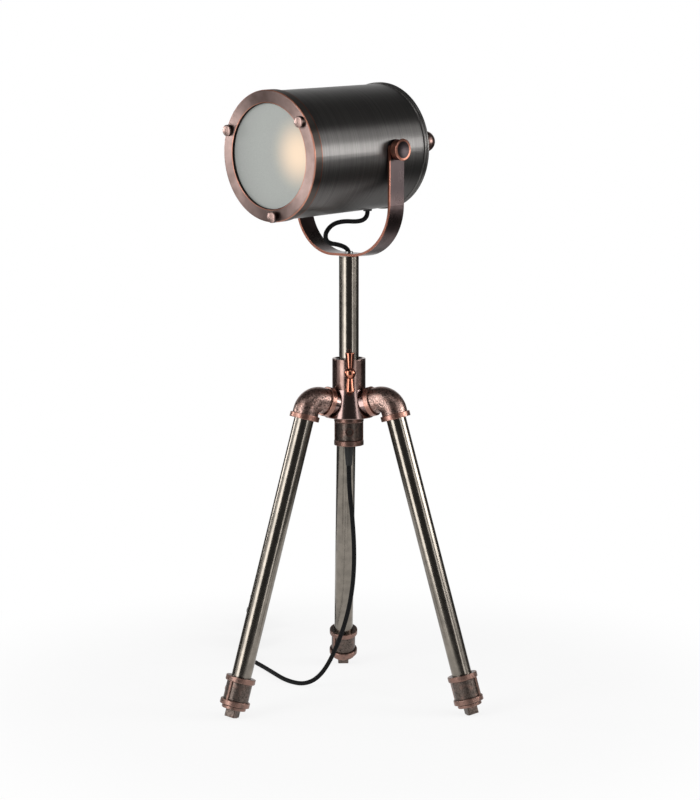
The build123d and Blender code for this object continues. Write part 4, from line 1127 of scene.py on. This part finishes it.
@dataclass
class Studio:
    """Pale floor and backdrop, soft boxes and the camera."""

    eye: Point = (-96.7, -2113.3, 601.4)
    heading: float = 2.65
    pitch: float = 7.88
    lens: float = 95.2
    floor_radius: float = 0.58
    floor_drop: float = 0.0005
    floor_fade: Pair = (0.25, 0.55)  # where the shaded paper starts and ends its fade to white
    floor_glow: Pair = (0.84, 1.0)
    floor_white: float = 0.9
    dark: float = 0.06  # the studio behind its lights, in the lamp's metal
    fill: float = 0.30  # the light that comes from all round
    wall: Pair = (0.86, 0.93)  # how far +Y a mirrored direction points where the paper begins
    upper_wall: Pair = (0.69, 0.73)  # the same for the paper's dimmer upper part
    upper_from: Pair = (0.16, 0.26)  # how far up that part begins
    upper_glow: float = 0.5
    boxes: tuple[SoftBox, ...] = (
        SoftBox("left_box", -52.0, (0.80, 2.3), 0.56, 4.2),
        SoftBox("left_wing", -79.0, (0.62, 1.7), 0.86, 1.1),
        SoftBox("right_box", 41.5, (0.28, 2.3), 0.56, 2.6),
        SoftBox("right_wing", 68.0, (1.15, 1.7), 0.86, 0.5),
        SoftBox("drum_box", 77.0, (0.8, 0.46), 0.68, 7.6),
        SoftBox("drum_glow", 84.0, (0.8, 0.5), 1.18, 1.5),
        SoftBox("bezel_box", -109.0, (0.5, 0.34), 0.6, 7.0),
        SoftBox("top_box", 10.0, (1.0, 0.6), 2.1, 1.4, away=1.3),
    )

    def build(self) -> None:
        """Makes everything that isn't the object."""
        self.camera()
        self.floor()
        self.world()
        self.lights()
        bpy.context.scene.view_settings.view_transform = "Standard"

    def camera(self) -> None:
        """Sets the camera at the viewing angle."""
        data = bpy.data.cameras.new("camera")
        data.sensor_fit = "VERTICAL"
        data.sensor_height = 36.0
        data.lens = self.lens
        data.clip_end = 50.0
        thing = link(data, "camera")
        thing.location = Vector(self.eye) * MM
        thing.rotation_euler = (radians(90.0 - self.pitch), 0.0, -radians(self.heading))
        bpy.context.scene.camera = thing

    def floor(self) -> None:
        """White paper under the lamp that fades into the white room and keeps a faint shadow."""
        work = bmesh.new()
        bmesh.ops.create_circle(work, cap_ends=True, segments=96, radius=self.floor_radius)
        bmesh.ops.translate(work, verts=work.verts, vec=(0.0, 0.0, -self.floor_drop))
        thing = from_bmesh(work, "floor")
        material, tree, shader = blank("white_paper")
        shader.inputs["Base Color"].default_value = grey(self.floor_white)
        shader.inputs["Roughness"].default_value = 0.9
        shader.inputs["Specular IOR Level"].default_value = 0.0
        path = add_node(tree, "ShaderNodeLightPath")
        seen = either(tree, path.outputs["Is Camera Ray"], path.outputs["Is Glossy Ray"],
                      path.outputs["Is Transmission Ray"])
        where = add_node(tree, "ShaderNodeTexCoord").outputs["Object"]
        out = add_node(tree, "ShaderNodeVectorMath", {"operation": "LENGTH"}, {0: where})
        fade = add_node(tree, "ShaderNodeMapRange", SMOOTH, {
            0: out.outputs["Value"], 1: self.floor_fade[0], 2: self.floor_fade[1],
            3: self.floor_glow[0], 4: self.floor_glow[1]})
        glow = add_node(tree, "ShaderNodeEmission", inputs={"Color": grey(1.0), "Strength": 1.0})
        blended = add_node(tree, "ShaderNodeMixShader", inputs={
            0: both(tree, seen, fade.outputs[0]), 1: shader.outputs[0], 2: glow.outputs[0]})
        tree.links.new(blended.outputs[0], tree.nodes["Material Output"].inputs["Surface"])
        dress([thing], material)

    def world(self) -> None:
        """White behind the lamp, also in its metal, and dim elsewhere, as a studio is."""
        world = bpy.data.worlds.new("studio")
        bpy.context.scene.world = world
        world.use_nodes = True
        tree = world.node_tree
        base = tree.nodes["Background"]
        way = add_node(tree, "ShaderNodeTexCoord").outputs["Generated"]
        parts = add_node(tree, "ShaderNodeSeparateXYZ", inputs={0: way})
        wall = ramp(tree, parts.outputs[1], [
            (0.0, grey(self.dark)), (self.wall[0], grey(self.dark)), (self.wall[1], grey(1.0))])
        # The paper's upper part, over and behind the lamp, gets less light than its foot.
        behind = add_node(tree, "ShaderNodeMapRange", SMOOTH, {
            0: parts.outputs[1], 1: self.upper_wall[0], 2: self.upper_wall[1]})
        above = add_node(tree, "ShaderNodeMapRange", SMOOTH, {
            0: parts.outputs[2], 1: self.upper_from[0], 2: self.upper_from[1],
            4: self.upper_glow})
        shade = either(tree, wall, both(tree, behind.outputs[0], above.outputs[0]))
        tree.links.new(shade, base.inputs["Color"])
        base.inputs["Strength"].default_value = 1.0
        path = add_node(tree, "ShaderNodeLightPath")
        white = add_node(tree, "ShaderNodeBackground", inputs={"Color": grey(1.0), "Strength": 1.0})
        plain = add_node(tree, "ShaderNodeBackground", inputs={
            "Color": grey(self.fill), "Strength": 1.0})
        soft = add_node(tree, "ShaderNodeMixShader", inputs={
            0: path.outputs["Is Glossy Ray"], 1: plain.outputs[0], 2: base.outputs[0]})
        shown = either(tree, path.outputs["Is Camera Ray"], path.outputs["Is Transmission Ray"])
        blended = add_node(tree, "ShaderNodeMixShader", inputs={
            0: shown, 1: soft.outputs[0], 2: white.outputs[0]})
        tree.links.new(blended.outputs[0], tree.nodes["World Output"].inputs["Surface"])

    def lights(self) -> None:
        """Tall boxes left and right with dim wings, low ones for the drum and bezel, one on top."""
        for box in self.boxes:
            box.build()


# ---------------------------------------------------------------- the lamp


@dataclass
class SharedFinishes:
    """Finishes that more than one sub-assembly wears, each built once."""

    # Black nickel on polished steel pipe: dark and mirror bright.
    nickel: bpy.types.Material = field(default_factory=PolishedNickel().build)
    # Zinc plate on turned steel: pale grey and softly bright.
    zinc: bpy.types.Material = field(
        default_factory=PlainFinish("zinc_plate", "#a9aaa8", 1.0, 0.35).build)
    # Moulded rubber: nearly black, with a soft broad sheen.
    rubber: bpy.types.Material = field(
        default_factory=PlainFinish("black_rubber", "#141414", 0.0, 0.65, 0.5, 0.1).build)
    # Moulded ABS with a spark-eroded grain: black, with a blurred gloss.
    plastic: bpy.types.Material = field(
        default_factory=PlainFinish("black_moulded_plastic", "#18181a", 0.0, 0.4, 0.5, 0.06).build)
    # Drawn brass: clean yellow metal.
    brass: bpy.types.Material = field(
        default_factory=PlainFinish("contact_brass", "#c9a765", 1.0, 0.3).build)


@dataclass
class Stand:
    """Hub, collar and coupling, and three pipe legs with their elbows and feet."""

    shared: SharedFinishes
    azimuths: tuple[tuple[str, float], ...] = (("left", 210.0), ("right", 330.0), ("rear", 90.0))
    leg_band: Pair = (-5.4, 1.0)  # the elbow's band at its leg, along the leg's axis
    port_band: Pair = (-1.0, 5.4)
    foot_span: Pair = (200.0, 300.0)
    plug_span: Pair = (200.0, 400.0)
    plug_high_from: float = 11.6

    def build(self) -> None:
        """Dresses the legs, then the hub and what is screwed to it."""
        for side, azimuth in self.azimuths:
            self.leg(side, azimuth)
        upright = (Vector((0.0, 0.0, 0.0)), Vector((0.0, 0.0, 1.0)), *self.foot_span)
        coupling = CastFitting("cast_coupling", copper="#7d6057", axes=(upright,))
        dress(nodes("bottom_coupling"), coupling.build())
        # Bronzed iron, machined smooth: a dark plum brown that mirrors softly.
        iron = PlainFinish("dark_bronzed_iron", "#927b77", 1.0, 0.17, 1.0, 0.04)
        dress(nodes("hub"), iron.build())
        dress(nodes("collar"), AntiqueCopper(name="antique_copper_collar", roughness=0.2).build())
        dress(nodes("pipe_nipples"), self.shared.zinc)

    def leg(self, side: str, azimuth: float) -> None:
        """Dresses one leg from its elbow to its foot.

        Args:
            side: The leg's name.
            azimuth: Its direction in degrees from +X.
        """
        top, down = leg_axis(azimuth)
        port, inward = port_axis(azimuth)
        elbow = CastFitting(
            f"cast_elbow_{side}", low="#63554f", body="#a98c83", copper="#a2796c", roughness=0.32,
            axes=((top, down, *self.leg_band), (port, inward, *self.port_band)))
        foot = CastFitting(f"cast_foot_{side}", axes=((top, down, *self.foot_span),))
        plug = CastFitting(f"cast_plug_{side}", high_from=self.plug_high_from,
                           axes=((top, down, *self.plug_span),))
        dress(nodes(f"leg_{side}"), self.shared.nickel)
        dress(nodes(f"elbow_{side}"), elbow.build())
        dress(nodes(f"foot_coupling_{side}"), foot.build())
        dress(nodes(f"foot_plug_{side}"), plug.build())


@dataclass
class Mast:
    """The sliding tube with its clamp, and the yoke that turns on its top."""

    shared: SharedFinishes

    def build(self) -> None:
        """Dresses the tube, the clamp, the yoke and what they turn on."""
        dress(nodes("mast_tube"), self.shared.nickel)
        dress(nodes("mast_plug", "lead_stud", "pivot_inserts"), self.shared.zinc)
        # Copper plate, buffed: warm, with sharp glints.
        bright = PlainFinish("polished_copper", "#b87761", 1.0, 0.16)
        dress(nodes("clamp_screw", "clamp_bar"), bright.build())
        # Moulded nylon, undyed: milky and matt.
        nylon = PlainFinish("natural_nylon", "#e2dfd6", 0.0, 0.5)
        dress(nodes("guide_bush", "swivel_washer", "pivot_washers"), nylon.build())
        strap = AntiqueCopper("antique_copper_strap", "#635554", "#4f4342", "#a8705f",
                              roughness=0.27, rub_and_light=RubAndPaintedLight.STRAP)
        dress(nodes("yoke_strap"), strap.build())
        knob = AntiqueCopper("antique_copper_knob", "#6b5850", "#5a4943", "#b97f6d", rub_and_light=RubAndPaintedLight.KNOB)
        dress(nodes("pivot_knob_near", "pivot_knob_far"), knob.build())


@dataclass
class Head:
    """The drum with its bezel, glass and handle, and the bulb in its holder."""

    shared: SharedFinishes

    def build(self) -> None:
        """Dresses the drum from its front to its handle, then what is inside."""
        bezel = AntiqueCopper("antique_copper_bezel", "#a68f89", "#8f7a74",
                              roughness=0.38, rub_and_light=RubAndPaintedLight.BEZEL, spun=True)
        screw = AntiqueCopper("rubbed_copper_screw", "#b0958d", "#a18780", rub_and_light=RubAndPaintedLight.SCREW)
        dress(nodes("front_bezel"), bezel.build())
        dress(nodes("bezel_screws"), screw.build())
        dress(nodes("front_glass"), FrostedGlass().build())
        dress(nodes("glass_gasket", "lead_grommet"), self.shared.rubber)
        dress(nodes("shade_tube", "rear_cover"), BrushedGunmetal().build())
        dress(nodes("handle_stem", "handle_knob"), AntiqueCopper().build())
        dress(nodes("glass_retainer", "handle_nut", "holder_bracket", "holder_nipple",
                    "holder_nut"), self.shared.zinc)
        dress(nodes("lampholder"), self.shared.plastic)
        dress(nodes("lampholder_shell", "lampholder_contact"), self.shared.brass)
        # Opal glass: white all through, with a smooth gloss.
        opal = PlainFinish("opal_glass", "#f4efe4", 0.0, 0.25, 3.0, 0.0)
        dress(nodes("bulb_glass"), opal.build())
        # Rolled aluminium sheet: silvery, with a satin gloss.
        rolled = PlainFinish("rolled_aluminium", "#c9c9c9", 1.0, 0.35)
        dress(nodes("bulb_cap"), rolled.build())


@dataclass
class CordFittings:
    """What is fixed on the mains cord: its relief, the switch, the tie and the plug."""

    shared: SharedFinishes

    def build(self) -> None:
        """Dresses the moulded pieces and the pins."""
        dress(nodes("strain_relief"), self.shared.rubber)
        dress(nodes("switch_body", "switch_cover", "switch_rocker", "plug_body", "cord_tie"),
              self.shared.plastic)
        dress(nodes("plug_pins"), self.shared.brass)


def main() -> None:
    """Builds the lamp's looks in order and reports each piece."""
    logging.basicConfig(level=logging.INFO, format="%(name)s: %(message)s")
    Studio().build()
    PowerCord().build()
    HeadLead().build()
    shared = SharedFinishes()
    for assembly in (Stand(shared), Mast(shared), Head(shared), CordFittings(shared)):
        assembly.build()


if __name__ == "__main__":
    main()
